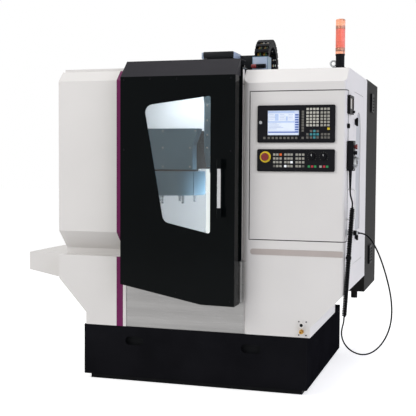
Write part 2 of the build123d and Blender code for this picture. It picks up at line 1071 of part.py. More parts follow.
def side_wing():
    """Bulge on the left side that gives the table's drive its room."""
    outline = (
        (housing_left, wing_bottom),
        (housing_left, wing_top),
        (wing_left, wing_top),
        (wing_left, wing_end_bottom),
        (wing_knee, wing_bottom),
    )
    body = prism_y(outline, front + recess_setback, back - wing_back_gap)
    inner = inset(outline, sheet)
    body -= prism_y(inner, front + recess_setback + sheet, back - wing_back_gap - sheet)
    body -= block(housing_left - 2 * sheet, housing_left + overrun, front + recess_setback + sheet,
                  back - wing_back_gap - sheet, lower_corner + sheet, wing_top - sheet)
    return body


def back_wall():
    """Rear splash wall with a tall slot for the head and a hole for the changer's arm."""
    low = bed_top + rail_height + overrun
    body = block(strip_right, opening_right, back - sheet, back, low, housing_top - housing_bevel)
    body -= block(strip_right - overrun, opening_left, back - sheet - overrun, back + overrun,
                  low - overrun, ledge)
    slot_half = head_plate_half + base_flange
    body -= block(-slot_half, slot_half, back - sheet - overrun, back + overrun, ledge, housing_top)
    body -= block(changer_arm_left - overrun, changer_arm_right + overrun, back - sheet - overrun,
                  back + overrun, changer_arm_bottom - overrun, changer_arm_top + overrun)
    return body


def corner_setback(depth):
    """How far the cabinet's round left corner stands back from the opening, at a depth behind the front."""
    return cabinet_left_radius - math.sqrt(cabinet_left_radius ** 2 - (cabinet_left_radius - depth) ** 2)


def front_apron():
    """Brushed steel apron below the door, a lip folded back over its top, that reaches the cabinet's round corner."""
    face = front + apron_setback
    line = ((face, base_top), (face, ledge), (face + apron_lip, ledge))
    outline = folded(line[::-1], apron_sheet)
    body = prism_x(outline, opening_left, opening_right)
    end = opening_right + corner_setback(apron_setback + apron_sheet) - touch
    return body + block(opening_right, end, face, face + apron_sheet, base_top, ledge)


def door_frame():
    """Black door frame: sill, jambs, a channel lintel and the rail that the door hangs on."""
    body = block(strip_right, opening_right, front, front + frame_plate, ledge, housing_top)
    body -= block(opening_left, opening_right - frame_jamb, front - overrun, front + frame_plate + overrun,
                  ledge + frame_sill, housing_top - frame_lintel)
    line = (
        (front + lintel_depth, housing_top - frame_lintel),
        (front, housing_top - frame_lintel),
        (front, housing_top),
        (front + lintel_depth, housing_top),
    )
    body += prism_x(folded(line[::-1], sheet), strip_right, opening_right)
    rail_y = front + door_rail_setback
    return body + block(strip_right, opening_right - door_rail_margin, rail_y, rail_y + door_rail_width,
                        housing_top, housing_top + door_rail_height)


# Sliding door

def door_outline():
    """Front outline of the door, anticlockwise, with its sloping lower edge."""
    return (
        (door_left, door_low_left),
        (door_kink_x, door_low_kink),
        (door_right, door_low_right),
        (door_right, door_top),
        (door_left, door_top),
    )


def window_corners():
    """Corners of the window, anticlockwise from its lower right."""
    return (
        (window_right, window_low_right),
        (window_right, window_top_right),
        (window_top_left_x, window_top_left),
        (window_low_left_x, window_low_left),
    )


def window_sketch():
    """The window's outline with two round and two small corners."""
    sketch = face_of(window_corners())
    by_x = sketch.vertices().sort_by(Axis.X)
    sketch = fillet(by_x[:2], window_big_radius)
    by_x = sketch.vertices().sort_by(Axis.X)
    return fillet(by_x[-2:], window_small_radius)


def handle_y():
    """Centre line of the handle tube."""
    return front - door_gap - door_depth - handle_standoff


def door_panel():
    """Gloss black door: a folded pan with its window cut-out and the two handle ends."""
    face = front - door_gap - door_depth
    outline = door_outline()
    body = prism_y(outline, face, front - door_gap)
    body -= prism_y(inset(outline, door_sheet), face + door_sheet, front - door_gap + overrun)
    body -= carry_y(window_sketch(), face - overrun, face + door_sheet + overrun)
    for low in (handle_low, handle_high - handle_end):
        mid = low + handle_end / 2
        body += rod((handle_x, handle_y(), low), (0, 0, 1), handle_end_radius, handle_end)
        body += block(handle_x - handle_post_half, handle_x + handle_post_half, handle_y(), face,
                      mid - handle_post_height / 2, mid + handle_post_height / 2)
    return body


def door_window():
    """Safety glass behind the door's cut-out."""
    face = front - door_gap - door_depth + door_sheet
    return prism_y(inset(window_corners(), -window_lap), face, face + window_glass)


def door_handle():
    """Chromed tube between the two handle ends."""
    low = handle_low + handle_end
    return rod((handle_x, handle_y(), low), (0, 0, 1), handle_radius, handle_high - handle_end - low)


def door_hood():
    """Sloping hood over the door, closed at its ends, with the runners that hang on the rail."""
    face = front - door_gap - door_depth
    crest = face + hood_edge_setback
    line = ((face, door_top), (crest, hood_top), (front + hood_back, hood_top))
    body = prism_x(folded(line[::-1], hood_sheet), door_left, door_right)
    body -= block(door_left - overrun, door_right + overrun, face - overrun, front - door_gap,
                  door_top - hood_sheet - overrun, door_top)
    end = ((face, door_top), (front - door_gap, door_top), (front - door_gap, hood_top), (crest, hood_top))
    body += prism_x(end, door_left, door_left + hood_sheet)
    body += prism_x(end, door_right - hood_sheet, door_right)
    rail_y = front + door_rail_setback
    rail_top = housing_top + door_rail_height
    for share in runner_shares:
        x = door_left + share * (door_right - door_left)
        runner = block(x - runner_length / 2, x + runner_length / 2, rail_y - runner_wall,
                       rail_y + door_rail_width + runner_wall, rail_top - runner_lap, hood_top - hood_sheet)
        runner -= block(x - runner_length, x + runner_length, rail_y - touch,
                        rail_y + door_rail_width + touch, rail_top - runner_lap - overrun, rail_top + touch)
        body += runner
    return body


# Right cabinet

def cabinet_form(distance):
    """The cabinet's outer form, moved inwards by a distance."""
    outline = (
        (opening_right, base_top),
        (skirt_right, base_top),
        (skirt_right, skirt_top),
        (cabinet_right, slant_top),
        (cabinet_right, cabinet_top),
        (opening_right, cabinet_top),
    )
    body = prism_y(inset(outline, distance), front + distance, back - distance)
    edges = body.edges().filter_by(Axis.Z).group_by(Axis.Y)[0].sort_by(Axis.X)
    body = fillet(edges[0], cabinet_left_radius - distance)
    edges = body.edges().filter_by(Axis.Z).filter_by(lambda e: e.center().Y < front + distance + touch)
    body = fillet(edges.sort_by(Axis.X)[-1], cabinet_right_radius - distance)
    rise = cabinet_top - cabinet_bevel - front - distance * math.sqrt(2)
    near = front - overrun
    high = cabinet_top + overrun
    wedge = ((near, near + rise), (high - rise, high), (near, high))
    return body - prism_x(wedge, opening_right - overrun, cabinet_right + overrun)


def cover_region(gap):
    """The stretch of the cabinet's front and right corner that the control cover takes."""
    return block(cover_left - gap, cabinet_right + overrun, front - overrun, front + cover_wrap + gap,
                 cover_low - gap, cover_high + gap)


def cabinet_shell():
    """Right cabinet: a sheet shell with a slanted underside, opened for the table, cover and side door."""
    outer = cabinet_form(0)
    body = outer - cabinet_form(cabinet_wall)
    body -= (outer - cabinet_form(cover_sheet)) & cover_region(cover_seam)
    body -= block(cover_left + cover_land, unit_left + unit_width - cover_land, front - overrun,
                  front + cabinet_wall + overrun, cover_low + cover_land, cover_high - cover_land)
    groove = block(groove_left + groove_height / 2, cabinet_right - groove_end_gap, front - overrun,
                   front + groove_depth, groove_low, groove_low + groove_height)
    groove += rod((groove_left + groove_height / 2, front - overrun, groove_low + groove_height / 2),
                  (0, 1, 0), groove_height / 2, groove_depth + overrun)
    body -= groove
    reach = table_depth / 2 + y_travel + pocket_gap
    body -= block(opening_right - overrun, opening_right + cabinet_wall + overrun, -reach, reach,
                  pocket_low, pocket_high)
    body -= block(cabinet_right - cabinet_wall - overrun, cabinet_right + overrun, front + side_door_front,
                  front + side_door_rear, side_door_low, side_door_high)
    return body + side_door_frame()


def side_door_frame():
    """Rebate behind the side opening that the access door closes against."""
    near = front + side_door_front
    far = front + side_door_rear
    seat = cabinet_right - side_door_thick - touch
    body = block(seat - sheet, cabinet_right - cabinet_wall, near - sheet, far + sheet,
                 side_door_low - sheet, side_door_high + sheet)
    body -= block(seat, cabinet_right, near, far, side_door_low, side_door_high)
    return body - block(seat - sheet - overrun, cabinet_right, near + side_frame, far - side_frame,
                        side_door_low + side_frame, side_door_high - side_frame)


def control_cover():
    """Cover sheet that carries the operator units and wraps round the cabinet's right corner."""
    return (cabinet_form(0) - cabinet_form(cover_sheet)) & cover_region(0)


def unit_plate(low, height):
    """A flat operator unit with rounded corners, standing on the control cover."""
    mid = Pos(unit_left + unit_width / 2, low + height / 2)
    return carry_y(mid * RectangleRounded(unit_width, height, unit_radius), front - unit_depth, front)


def screen_block(depth):
    """The screen's place in the operator unit."""
    left = unit_left + screen_left
    high = operator_low + operator_height - screen_top
    return block(left, left + screen_width, front - unit_depth, front - unit_depth + depth,
                 high - screen_height, high)


def operator_unit():
    """Upper unit with a sunk place for the screen."""
    return unit_plate(operator_low, operator_height) - screen_block(2 * screen_sunk)


def operator_screen():
    """Flat screen, sunk a little behind the unit's face."""
    return screen_block(2 * screen_sunk) - screen_block(screen_sunk)


def machine_point(left, top):
    """A place on the lower unit's face, from its upper left corner."""
    return unit_left + left, front - unit_depth, machine_low + machine_height - top


def machine_panel():
    """Lower unit, bored for the stop button and the two knobs."""
    body = unit_plate(machine_low, machine_height)
    body -= rod(machine_point(estop_left, estop_top), (0, 1, 0), collar_bore_radius,
                estop_sink + estop_travel)
    return body


# Key places, as shares of their unit's width and of its height from the top
key_column_shares = (0.651, 0.694, 0.736, 0.779, 0.831, 0.874, 0.917)
key_row_shares = (0.110, 0.205, 0.295, 0.375, 0.455, 0.540)
block_column_shares = (0.651, 0.698, 0.740, 0.782, 0.838, 0.880, 0.922)
block_row_shares = (0.780, 0.865)
arrow_column_shares = (0.698, 0.740, 0.782)
arrow_top_share = 0.695
select_key_shares = (0.919, 0.634)
soft_row_shares = (0.093, 0.152, 0.204, 0.254, 0.306, 0.356, 0.406, 0.458, 0.508, 0.591)
soft_row_top_share = 0.875
soft_column_left_share = 0.591
soft_column_shares = (0.180, 0.250, 0.320, 0.395, 0.465, 0.535, 0.610, 0.680)
machine_column_shares = (0.226, 0.266, 0.309, 0.371, 0.413, 0.451, 0.518, 0.558, 0.601)
machine_row_shares = (0.242, 0.417, 0.583, 0.758)
start_row_shares = (0.675, 0.717, 0.755, 0.824, 0.869, 0.907)
start_row_top_share = 0.767


def key_at(x_share, low, height, z_share):
    """One membrane key on a unit of the given foot and height."""
    x = unit_left + x_share * unit_width
    z = low + height * (1 - z_share)
    return block(x - key_width / 2, x + key_width / 2, front - unit_depth - key_proud, front - unit_depth,
                 z - key_height / 2, z + key_height / 2)


def panel_keys():
    """Raised membrane keys of both units."""
    places = [(x, z) for x in key_column_shares for z in key_row_shares]
    places += [(x, z) for x in block_column_shares for z in block_row_shares]
    places += [(x, arrow_top_share) for x in arrow_column_shares]
    places += [select_key_shares]
    places += [(x, soft_row_top_share) for x in soft_row_shares]
    places += [(soft_column_left_share, z) for z in soft_column_shares]
    keys = [key_at(x, operator_low, operator_height, z) for x, z in places]
    places = [(x, z) for x in machine_column_shares for z in machine_row_shares]
    places += [(x, start_row_top_share) for x in start_row_shares]
    keys += [key_at(x, machine_low, machine_height, z) for x, z in places]
    return Compound(children=keys)


def estop_collar():
    """Yellow ring round the stop button."""
    x, y, z = machine_point(estop_left, estop_top)
    body = rod((x, y - collar_height, z), (0, 1, 0), collar_radius, collar_height)
    return body - rod((x, y - collar_height - overrun, z), (0, 1, 0), collar_bore_radius,
                      collar_height + 2 * overrun)


def estop_button():
    """Red mushroom button with its stem in the unit."""
    x, y, z = machine_point(estop_left, estop_top)
    head_y = y - collar_height - estop_travel - touch
    body = rod((x, head_y - estop_cap, z), (0, 1, 0), estop_radius, estop_cap)
    rim = body.edges().filter_by(GeomType.CIRCLE).sort_by(Axis.Y)[0]
    body = fillet(rim, estop_cap / 2)
    return body + rod((x, head_y, z), (0, 1, 0), estop_stem_radius, y + estop_sink - head_y - touch)


def override_knob(left):
    """Black override knob with a broad skirt and a pointer notch."""
    x, y, z = machine_point(left, knob_top)
    body = rod((x, y - touch - knob_skirt, z), (0, 1, 0), knob_radius, knob_skirt)
    body += rod((x, y - touch - knob_height, z), (0, 1, 0), knob_grip_radius, knob_height)
    notch = block(x - knob_mark_width / 2, x + knob_mark_width / 2, y - knob_height - overrun,
                  y - touch - knob_height + knob_mark_depth, z, z + knob_radius)
    return body - notch


def connector_plate():
    """Supply plate low on the front with the black signal socket."""
    body = block(plate_left, plate_left + plate_width, front - plate_thick, front,
                 plate_low, plate_low + plate_height)
    face = front - plate_thick
    body += rod((socket_x, face - socket_depth, socket_z), (0, 1, 0), socket_radius, socket_depth)
    body -= rod((socket_x, face - socket_depth - overrun, socket_z), (0, 1, 0), socket_bore_radius,
                socket_depth + overrun)
    return body


def air_coupling():
    """Brass air coupling with a six-sided body and a hose tail."""
    face = front - plate_thick
    plane = Plane(origin=(socket_x, face - coupling_hex, coupling_z), z_dir=(0, 1, 0))
    body = extrude(plane * RegularPolygon(coupling_hex_radius, 6), amount=coupling_hex)
    tail = face - coupling_hex - coupling_tail
    body += rod((socket_x, tail, coupling_z), (0, 1, 0), coupling_tail_radius, coupling_tail)
    body -= rod((socket_x, tail - overrun, coupling_z), (0, 1, 0), coupling_bore_radius,
                coupling_tail + overrun)
    return body


def side_door():
    """Flush access door in the cabinet's side, with its long round-headed trough."""
    inner = cabinet_right - side_door_thick
    body = block(inner, cabinet_right, front + side_door_front + side_door_gap,
                 front + side_door_rear - side_door_gap, side_door_low + side_door_gap,
                 side_door_high - side_door_gap)
    radius = (trough_rear - trough_front) / 2
    face = cabinet_right - trough_depth
    trough = block(face, cabinet_right + overrun, front + trough_front, front + trough_rear,
                   trough_low, trough_high - radius)
    mid = front + (trough_front + trough_rear) / 2
    trough += rod((face, mid, trough_high - radius), (1, 0, 0), radius, trough_depth + overrun)
    return body - trough


def latch(setback, height):
    """Quarter-turn latch with a T-shaped grip."""
    y = front + setback
    body = rod((cabinet_right, y, height), (1, 0, 0), latch_radius, latch_base)
    body += block(cabinet_right + latch_base, cabinet_right + latch_base + latch_bar_height,
                  y - latch_bar_width / 2, y + latch_bar_width / 2,
                  height - latch_bar_length / 2, height + latch_bar_length / 2)
    return body


def service_box():
    """Black service box with a sunk window and a turn knob."""
    plane = Plane(origin=(cabinet_right, 0, 0), x_dir=(0, 1, 0), z_dir=(1, 0, 0))
    width = service_rear - service_front
    height = service_high - service_low
    mid = Pos(front + (service_front + service_rear) / 2, (service_low + service_high) / 2)
    body = extrude(plane * mid * RectangleRounded(width, height, service_radius), amount=service_depth)
    rim = service_window_rim
    window = Rectangle(width - 2 * rim, height - 3 * rim)
    face = plane.offset(service_depth - service_window_depth)
    body -= extrude(face * mid * Pos(0, rim / 2) * window, amount=service_window_depth + overrun)
    knob = (cabinet_right + service_depth, front + service_rear - 2 * rim, service_low + rim)
    return body + rod(knob, (1, 0, 0), service_knob_radius, service_knob_height)


# Hand pendant and its cord

def pendant_face_x():
    """Outer face of the pendant."""
    return cabinet_right + pendant_foot + pendant_thick


def pendant_mid_y():
    """Middle of the pendant across its face."""
    return front + pendant_front + pendant_width / 2


def pendant_body():
    """Hand pendant held to the cabinet by two magnet feet, with a tapered cord relief."""
    back_face = cabinet_right + pendant_foot
    plane = Plane(origin=(back_face, 0, 0), x_dir=(0, 1, 0), z_dir=(1, 0, 0))
    mid = Pos(pendant_mid_y(), pendant_low + pendant_height / 2)
    body = extrude(plane * mid * RectangleRounded(pendant_width, pendant_height, pendant_round),
                   amount=pendant_thick)
    for level in (pendant_low + wheel_rise, pendant_low + pendant_stop_rise):
        body += rod((cabinet_right, pendant_mid_y(), level), (1, 0, 0), pendant_foot_radius, pendant_foot)
    relief_x = back_face + pendant_thick / 2
    relief_y = front + pendant_front + relief_setback
    body += cone((relief_x, relief_y, pendant_low), (0, 0, -1), relief_top_radius, relief_end_radius,
                 relief_length)
    stop = (pendant_face_x(), pendant_mid_y(), pendant_low + pendant_stop_rise)
    return body - rod(stop, (-1, 0, 0), pendant_stop_neck_radius + touch,
                      pendant_stop_sink + pendant_stop_travel + touch)


def pendant_wheel():
    """Handwheel with a crank peg near its rim."""
    x = pendant_face_x() + touch
    z = pendant_low + wheel_rise
    body = rod((x, pendant_mid_y(), z), (1, 0, 0), wheel_radius, wheel_height)
    ring = rod((x + wheel_height / 2, pendant_mid_y(), z), (1, 0, 0), wheel_radius - wheel_rim,
               wheel_height)
    ring -= rod((x, pendant_mid_y(), z), (1, 0, 0), wheel_boss_radius, 2 * wheel_height)
    body -= ring
    peg = (x + wheel_height / 2, pendant_mid_y(), z + wheel_crank_reach)
    return body + rod(peg, (1, 0, 0), wheel_crank_radius, wheel_height / 2 + wheel_crank_height)


def pendant_selector():
    """Axis selector knob with a flat pointer side."""
    start = (pendant_face_x() + touch, pendant_mid_y() - selector_side, pendant_low + selector_rise)
    body = rod(start, (1, 0, 0), selector_radius, selector_height)
    x, y, z = start
    cut = block(x + selector_height / 2, x + selector_height + overrun, y - 2 * selector_radius,
                y - selector_radius / 2, z - selector_radius, z + selector_radius)
    return body - cut


def pendant_stop():
    """Red stop button of the pendant."""
    x = pendant_face_x()
    y = pendant_mid_y()
    z = pendant_low + pendant_stop_rise
    neck = pendant_stop_neck + pendant_stop_sink
    body = rod((x - pendant_stop_sink, y, z), (1, 0, 0), pendant_stop_neck_radius, neck)
    return body + rod((x + pendant_stop_neck, y, z), (1, 0, 0), pendant_stop_radius, pendant_stop_cap)


def wire(points, radii, radius):
    """A round wire along straight runs with round bends."""
    path = FilletPolyline(*points, radius=radii)
    plane = Plane(origin=path @ 0, z_dir=path % 0)
    return sweep(plane * Circle(radius), path=path)


def cable_hook():
    """White wire hook that the pendant's cord hangs against."""
    y = front + hook_setback
    far = cabinet_right + hook_reach
    points = ((cabinet_right, y, hook_high), (far, y, hook_high), (far, y, hook_low),
              (cabinet_right, y, hook_low))
    return wire(points, hook_bend, hook_wire_radius)


def pendant_socket():
    """Flanged socket on the cabinet's side with the cord's round plug in it."""
    y = front + plug_setback
    half = plug_flange / 2
    body = block(cabinet_right, cabinet_right + plug_flange_thick, y - half, y + half,
                 plug_height - half, plug_height + half)
    start = cabinet_right + plug_flange_thick
    body += rod((start, y, plug_height), (1, 0, 0), plug_body_radius, plug_body)
    body += rod((start + plug_body, y, plug_height), (1, 0, 0), plug_nut_radius, plug_nut)
    return body


def route_radii(points, share=0.45):
    """Bend radius at each inner point of a cord's route, as large as its two runs allow."""
    radii = []
    for i in range(1, len(points) - 1):
        a = Vector(*points[i]) - Vector(*points[i - 1])
        b = Vector(*points[i + 1]) - Vector(*points[i])
        turn = math.radians(a.get_angle(b))
        radii.append(share * min(a.length, b.length) / math.tan(turn / 2))
    return radii


def cord_tube(points):
    """A cord's plain tube along its route."""
    radii = route_radii(points)
    tube = wire(points, radii, cord_radius)
    path = FilletPolyline(*points, radius=radii)
    share = tube.volume / (math.pi * cord_radius ** 2 * path.length)
    print("cord length", round(path.length), "volume share", round(share, 4),
          "least radius", round(min(radii)))
    return tube


def cord_leads():
    """The cord's two plain stretches, above and below its curly part."""
    return Compound(children=[cord_tube(lead_route), cord_tube(tail_route)])


def cord_coil():
    """The cord's curly part, as the tube that its turns fill."""
    top = Vector(*coil_route[0])
    foot = Vector(*coil_route[1])
    return rod(tuple(top), tuple(foot - top), coil_radius, (foot - top).length)


# Rear cabinet and roof

def rear_cabinet():
    """Dark electrical cabinet behind, open at the rear for its door, with a cable gland below."""
    rear = back + rear_depth
    body = block(opening_right, cabinet_right, back, rear, rear_low, rear_top)
    body -= block(opening_right + sheet, cabinet_right - sheet, back + sheet, rear + overrun,
                  rear_low + sheet, rear_top - sheet)
    lip = block(opening_right, cabinet_right, rear - sheet, rear, rear_low, rear_top)
    lip -= block(opening_right + rear_lip, cabinet_right - rear_lip, rear - 2 * sheet, rear + overrun,
                 rear_low + rear_lip, rear_top - rear_lip)
    body += lip
    y = front + gland_setback
    return body + rod((gland_x, y, rear_low), (0, 0, -1), gland_radius, gland_length)


def rear_door():
    """Deep pan door on the back of the electrical cabinet."""
    near = back + rear_depth + rear_door_gap
    far = near + rear_door_depth
    body = block(opening_right, cabinet_right, near, far, rear_low, rear_top)
    body -= block(opening_right + sheet, cabinet_right - sheet, near - overrun, far - sheet,
                  rear_low + sheet, rear_top - sheet)
    return body


def vents():
    """Two louvred filter covers on the rear cabinet's side."""
    covers = []
    near = front + vent_setback
    for low in (lower_vent_low, upper_vent_low):
        body = block(cabinet_right, cabinet_right + vent_depth, near, near + vent_size, low, low + vent_size)
        pitch = (vent_size - 2 * vent_rim) / vent_slats
        for i in range(vent_slats):
            z = low + vent_rim + i * pitch
            louvre = (
                (cabinet_right + vent_depth + overrun, z),
                (cabinet_right + vent_depth + overrun, z + pitch * 2 / 3),
                (cabinet_right + vent_depth, z + pitch * 2 / 3),
                (cabinet_right + vent_depth / 3, z),
            )
            body -= prism_y(louvre, near + vent_rim, near + vent_size - vent_rim)
        covers.append(body)
    return Compound(children=covers)


def drive_rack():
    """Mounting plate with a row of finned drives and two cable ducts."""
    left = opening_right + rack_margin
    right = cabinet_right - rack_margin
    low = rear_low + rack_margin
    high = rear_top - rack_margin
    plate_y = back + sheet + rack_standoff
    body = block(left, right, plate_y, plate_y + rack_sheet, low, high)
    for x in (left + rack_margin, right - rack_margin):
        for z in (low + rack_margin, high - rack_margin):
            body += rod((x, back + sheet, z), (0, 1, 0), rack_spacer_radius, rack_standoff)
    face = plate_y + rack_sheet
    pitch = (right - left) / drive_count
    drive_low = rear_low + drive_rise
    for i in range(drive_count):
        x = left + (i + 1 / 2) * pitch
        body += block(x - drive_width / 2, x + drive_width / 2, face, face + drive_depth,
                      drive_low, drive_low + drive_height)
        fin = drive_width / (2 * drive_fins)
        for j in range(drive_fins):
            groove = x - drive_width / 2 + (2 * j + 1 / 2) * fin
            body -= block(groove, groove + fin, face + drive_depth - drive_fin_depth,
                          face + drive_depth + overrun, drive_low - overrun,
                          drive_low + drive_height + overrun)
    for z in (drive_low - 2 * duct_height, drive_low + drive_height + duct_height):
        body += block(left, right, face, face + duct_depth, z, z + duct_height)
    return body


def lamp_base():
    """Black foot and stem of the signal lamp."""
    y = front + lamp_setback
    body = rod((lamp_x, y, cabinet_top), (0, 0, 1), lamp_foot_radius, lamp_foot)
    body += rod((lamp_x, y, cabinet_top), (0, 0, 1), lamp_base_radius, lamp_bottom - cabinet_top - lamp_ring)
    return body + rod((lamp_x, y, lamp_bottom - lamp_ring), (0, 0, 1), lamp_radius, lamp_ring)


def lamp_lens():
    """Orange lens of the signal lamp with a domed top."""
    y = front + lamp_setback
    body = rod((lamp_x, y, lamp_bottom), (0, 0, 1), lamp_radius, lamp_top - lamp_bottom)
    rim = body.edges().filter_by(GeomType.CIRCLE).sort_by(Axis.Z)[-1]
    return fillet(rim, lamp_ring)


def lifting_eyes():
    """Two lifting eyes screwed into the cabinet's roof."""
    eyes = []
    places = ((right_eye_x, right_eye_setback), (left_eye_x, left_eye_setback))
    for x, setback in places:
        y = front + setback
        body = rod((x, y, cabinet_top), (0, 0, 1), eye_collar_radius, eye_collar)
        body += rod((x, y, cabinet_top), (0, 0, 1), eye_shank_radius, eye_shank)
        height = cabinet_top + eye_shank + eye_ring_radius
        body += Plane(origin=(x, y, height), z_dir=(0, 1, 0)) * Torus(eye_ring_radius, eye_wire_radius)
        eyes.append(body)
    return Compound(children=eyes)


# Every piece, under the name it is filed by

nodes = {
    "plinth": plinth,
    "bed_casting": bed_casting,
    "column": column,
    "z_screw": z_screw,
    "z_motor": z_motor,
    "saddle": saddle,
    "table": table,
    "head_casting": head_casting,
    "spindle_cartridge": spindle_cartridge,
    "spindle_shaft": spindle_shaft,
    "tool_holder": tool_holder,
    "spindle_motor": spindle_motor,
    "junction_box": junction_box,
    "energy_chain": energy_chain,
    "changer_housing": changer_housing,
    "changer_guard": changer_guard,
    "tool_disc": tool_disc,
    "stored_tools": stored_tools,
    "left_housing": left_housing,
    "left_lower_panel": left_lower_panel,
    "side_wing": side_wing,
    "accent_strips": accent_strips,
    "back_wall": back_wall,
    "front_apron": front_apron,
    "door_frame": door_frame,
    "door_panel": door_panel,
    "door_window": door_window,
    "door_handle": door_handle,
    "door_hood": door_hood,
    "cabinet_shell": cabinet_shell,
    "control_cover": control_cover,
    "operator_unit": operator_unit,
    "operator_screen": operator_screen,
    "machine_panel": machine_panel,
    "panel_keys": panel_keys,
    "estop_collar": estop_collar,
    "estop_button": estop_button,
    "feed_knob": lambda: override_knob(feed_knob_left),
    "speed_knob": lambda: override_knob(speed_knob_left),
    "connector_plate": connector_plate,
    "air_coupling": air_coupling,
    "side_door": side_door,
    "upper_latch": lambda: latch(upper_latch_setback, upper_latch_height),
    "lower_latch": lambda: latch(lower_latch_setback, lower_latch_height),
    "service_box": service_box,
    "pendant_body": pendant_body,
    "pendant_wheel": pendant_wheel,
    "pendant_selector": pendant_selector,
    "pendant_stop": pendant_stop,
    "cable_hook": cable_hook,
    "pendant_socket": pendant_socket,
    "cord_leads": cord_leads,
    "cord_coil": cord_coil,
    "rear_cabinet": rear_cabinet,
    "rear_door": rear_door,
    "vents": vents,
    "drive_rack": drive_rack,
    "signal_lamp": lamp_lens,
    "lamp_base": lamp_base,
    "lifting_eyes": lifting_eyes,
}

os.makedirs("parts", exist_ok=True)
for name, make in nodes.items():
    export_step(make(), f"parts/{name}.step")
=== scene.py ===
"""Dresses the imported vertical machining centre: finishes, trim, operator panels, cable chain, cord and stage."""
import json
import math

import bpy
from mathutils import Matrix, Vector


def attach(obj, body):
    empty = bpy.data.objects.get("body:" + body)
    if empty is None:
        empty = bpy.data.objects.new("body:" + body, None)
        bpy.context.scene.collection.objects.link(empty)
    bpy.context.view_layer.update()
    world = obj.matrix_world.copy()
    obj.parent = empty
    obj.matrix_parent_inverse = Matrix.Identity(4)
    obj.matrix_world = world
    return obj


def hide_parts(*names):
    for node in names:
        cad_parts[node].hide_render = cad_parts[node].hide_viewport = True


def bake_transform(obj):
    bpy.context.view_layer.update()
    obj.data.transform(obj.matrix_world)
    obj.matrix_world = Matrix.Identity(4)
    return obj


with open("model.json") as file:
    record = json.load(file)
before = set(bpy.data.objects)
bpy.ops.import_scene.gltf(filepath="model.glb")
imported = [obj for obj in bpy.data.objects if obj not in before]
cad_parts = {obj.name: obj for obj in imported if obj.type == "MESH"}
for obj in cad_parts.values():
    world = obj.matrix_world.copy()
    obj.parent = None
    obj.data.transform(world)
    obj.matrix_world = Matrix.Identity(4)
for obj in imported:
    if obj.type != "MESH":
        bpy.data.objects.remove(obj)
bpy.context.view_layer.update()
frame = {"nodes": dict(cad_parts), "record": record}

bl_info = {
    "name": "Machining centre",
    "version": (1, 0, 0),
    "blender": (4, 5, 0),
    "location": "View3D > Sidebar > Machining centre",
    "description": "Finishes and small pieces of an enclosed vertical machining centre",
    "category": "Object",
}

MM = 0.001
OUT_FRONT = (0, -1, 0)
OUT_RIGHT = (1, 0, 0)
OUT_BACK = (0, 1, 0)
UP = (0, 0, 1)

# Planes and sizes of the solids that the trim sits on, in millimetres
FRONT = -587.5
DOOR_FACE = -697.5
UNIT_LEFT, UNIT_WIDTH, UNIT_FACE = 373, 421, -597.5
OPERATOR_LOW, OPERATOR_HEIGHT = 1372, 200
MACHINE_LOW, MACHINE_HEIGHT = 1217, 120
CABINET_RIGHT = 852
SOCKET_X, SOCKET_Z = 627, 390
REAR_FACE = 274.5
HANDLE_AXIS = (201, -743.5)
CHANGER_AXIS = (-330, 0)

# The pendant cord's route, as in the solids: a lead, the curly part's ends and a tail
LEAD_ROUTE = ((872, -553.5, 1127), (872, -553.5, 1107), (879, -566, 1081), (889.43, -577.5, 1056), (888, -577.5, 1032))
COIL_ROUTE = ((888, -577.5, 1032), (870.5, -577.5, 737.5), (853, -577.5, 443))
TAIL_ROUTE = (
    (853, -577.5, 443), (851.34, -577.5, 415), (842, -577.5, 383), (839, -577, 347), (850, -577, 309),
    (876, -577, 275), (914, -577, 253), (960, -577, 246), (1004, -576, 262), (1044, -574, 298), (1076, -572, 350),
    (1097, -569, 414), (1103, -566, 490), (1094, -562, 572), (1072, -556, 660), (1044, -549, 744), (1014, -541, 812),
    (982, -534.5, 864), (946, -532.5, 892), (915, -532.5, 892),
)


def linear(text):
    """An sRGB hex colour as linear red, green and blue."""
    parts = [int(text[i:i + 2], 16) / 255 for i in (1, 3, 5)]
    return tuple(p / 12.92 if p <= 0.04045 else ((p + 0.055) / 1.055) ** 2.4 for p in parts)


def colour_field(label, text, about):
    """A colour that the user may change."""
    return bpy.props.FloatVectorProperty(name=label, description=about, subtype="COLOR", size=3, min=0, max=1,
                                         default=linear(text))


def length_field(label, size, about):
    """A size in millimetres that the user may change."""
    return bpy.props.FloatProperty(name=label, description=about, subtype="DISTANCE", unit="LENGTH", min=0,
                                   default=size * MM)


class CENTRE_PG_colours(bpy.types.PropertyGroup):
    """Paint and moulding colours."""
    panel: colour_field("Panels", "#DEDBD8", "Powder coat of the enclosure sheets")
    accent: colour_field("Accent strips", "#6B1450", "Paint of the two slim strips beside the door")
    base: colour_field("Plinth", "#17171A", "Powder coat of the skirt round the base")
    door: colour_field("Door", "#070A0B", "Gloss enamel of the sliding door and its frame")
    hood: colour_field("Hood", "#2B2A2E", "Powder coat of the hood over the door")
    head: colour_field("Head", "#607E8F", "Enamel of the head, changer and terminal box")
    casting: colour_field("Castings", "#8C949A", "Paint of the bed, saddle and column")
    rear: colour_field("Rear cabinet", "#222120", "Powder coat of the electrical cabinet")
    groove: colour_field("Groove", "#B3A9A4", "Paint of the sunk band and of the side door's trough")
    lens: colour_field("Lamp lens", "#FFAA86", "Moulded lens of the signal lamp")
    floor: colour_field("Floor", "#F4F4F3", "Plain floor under the machine")


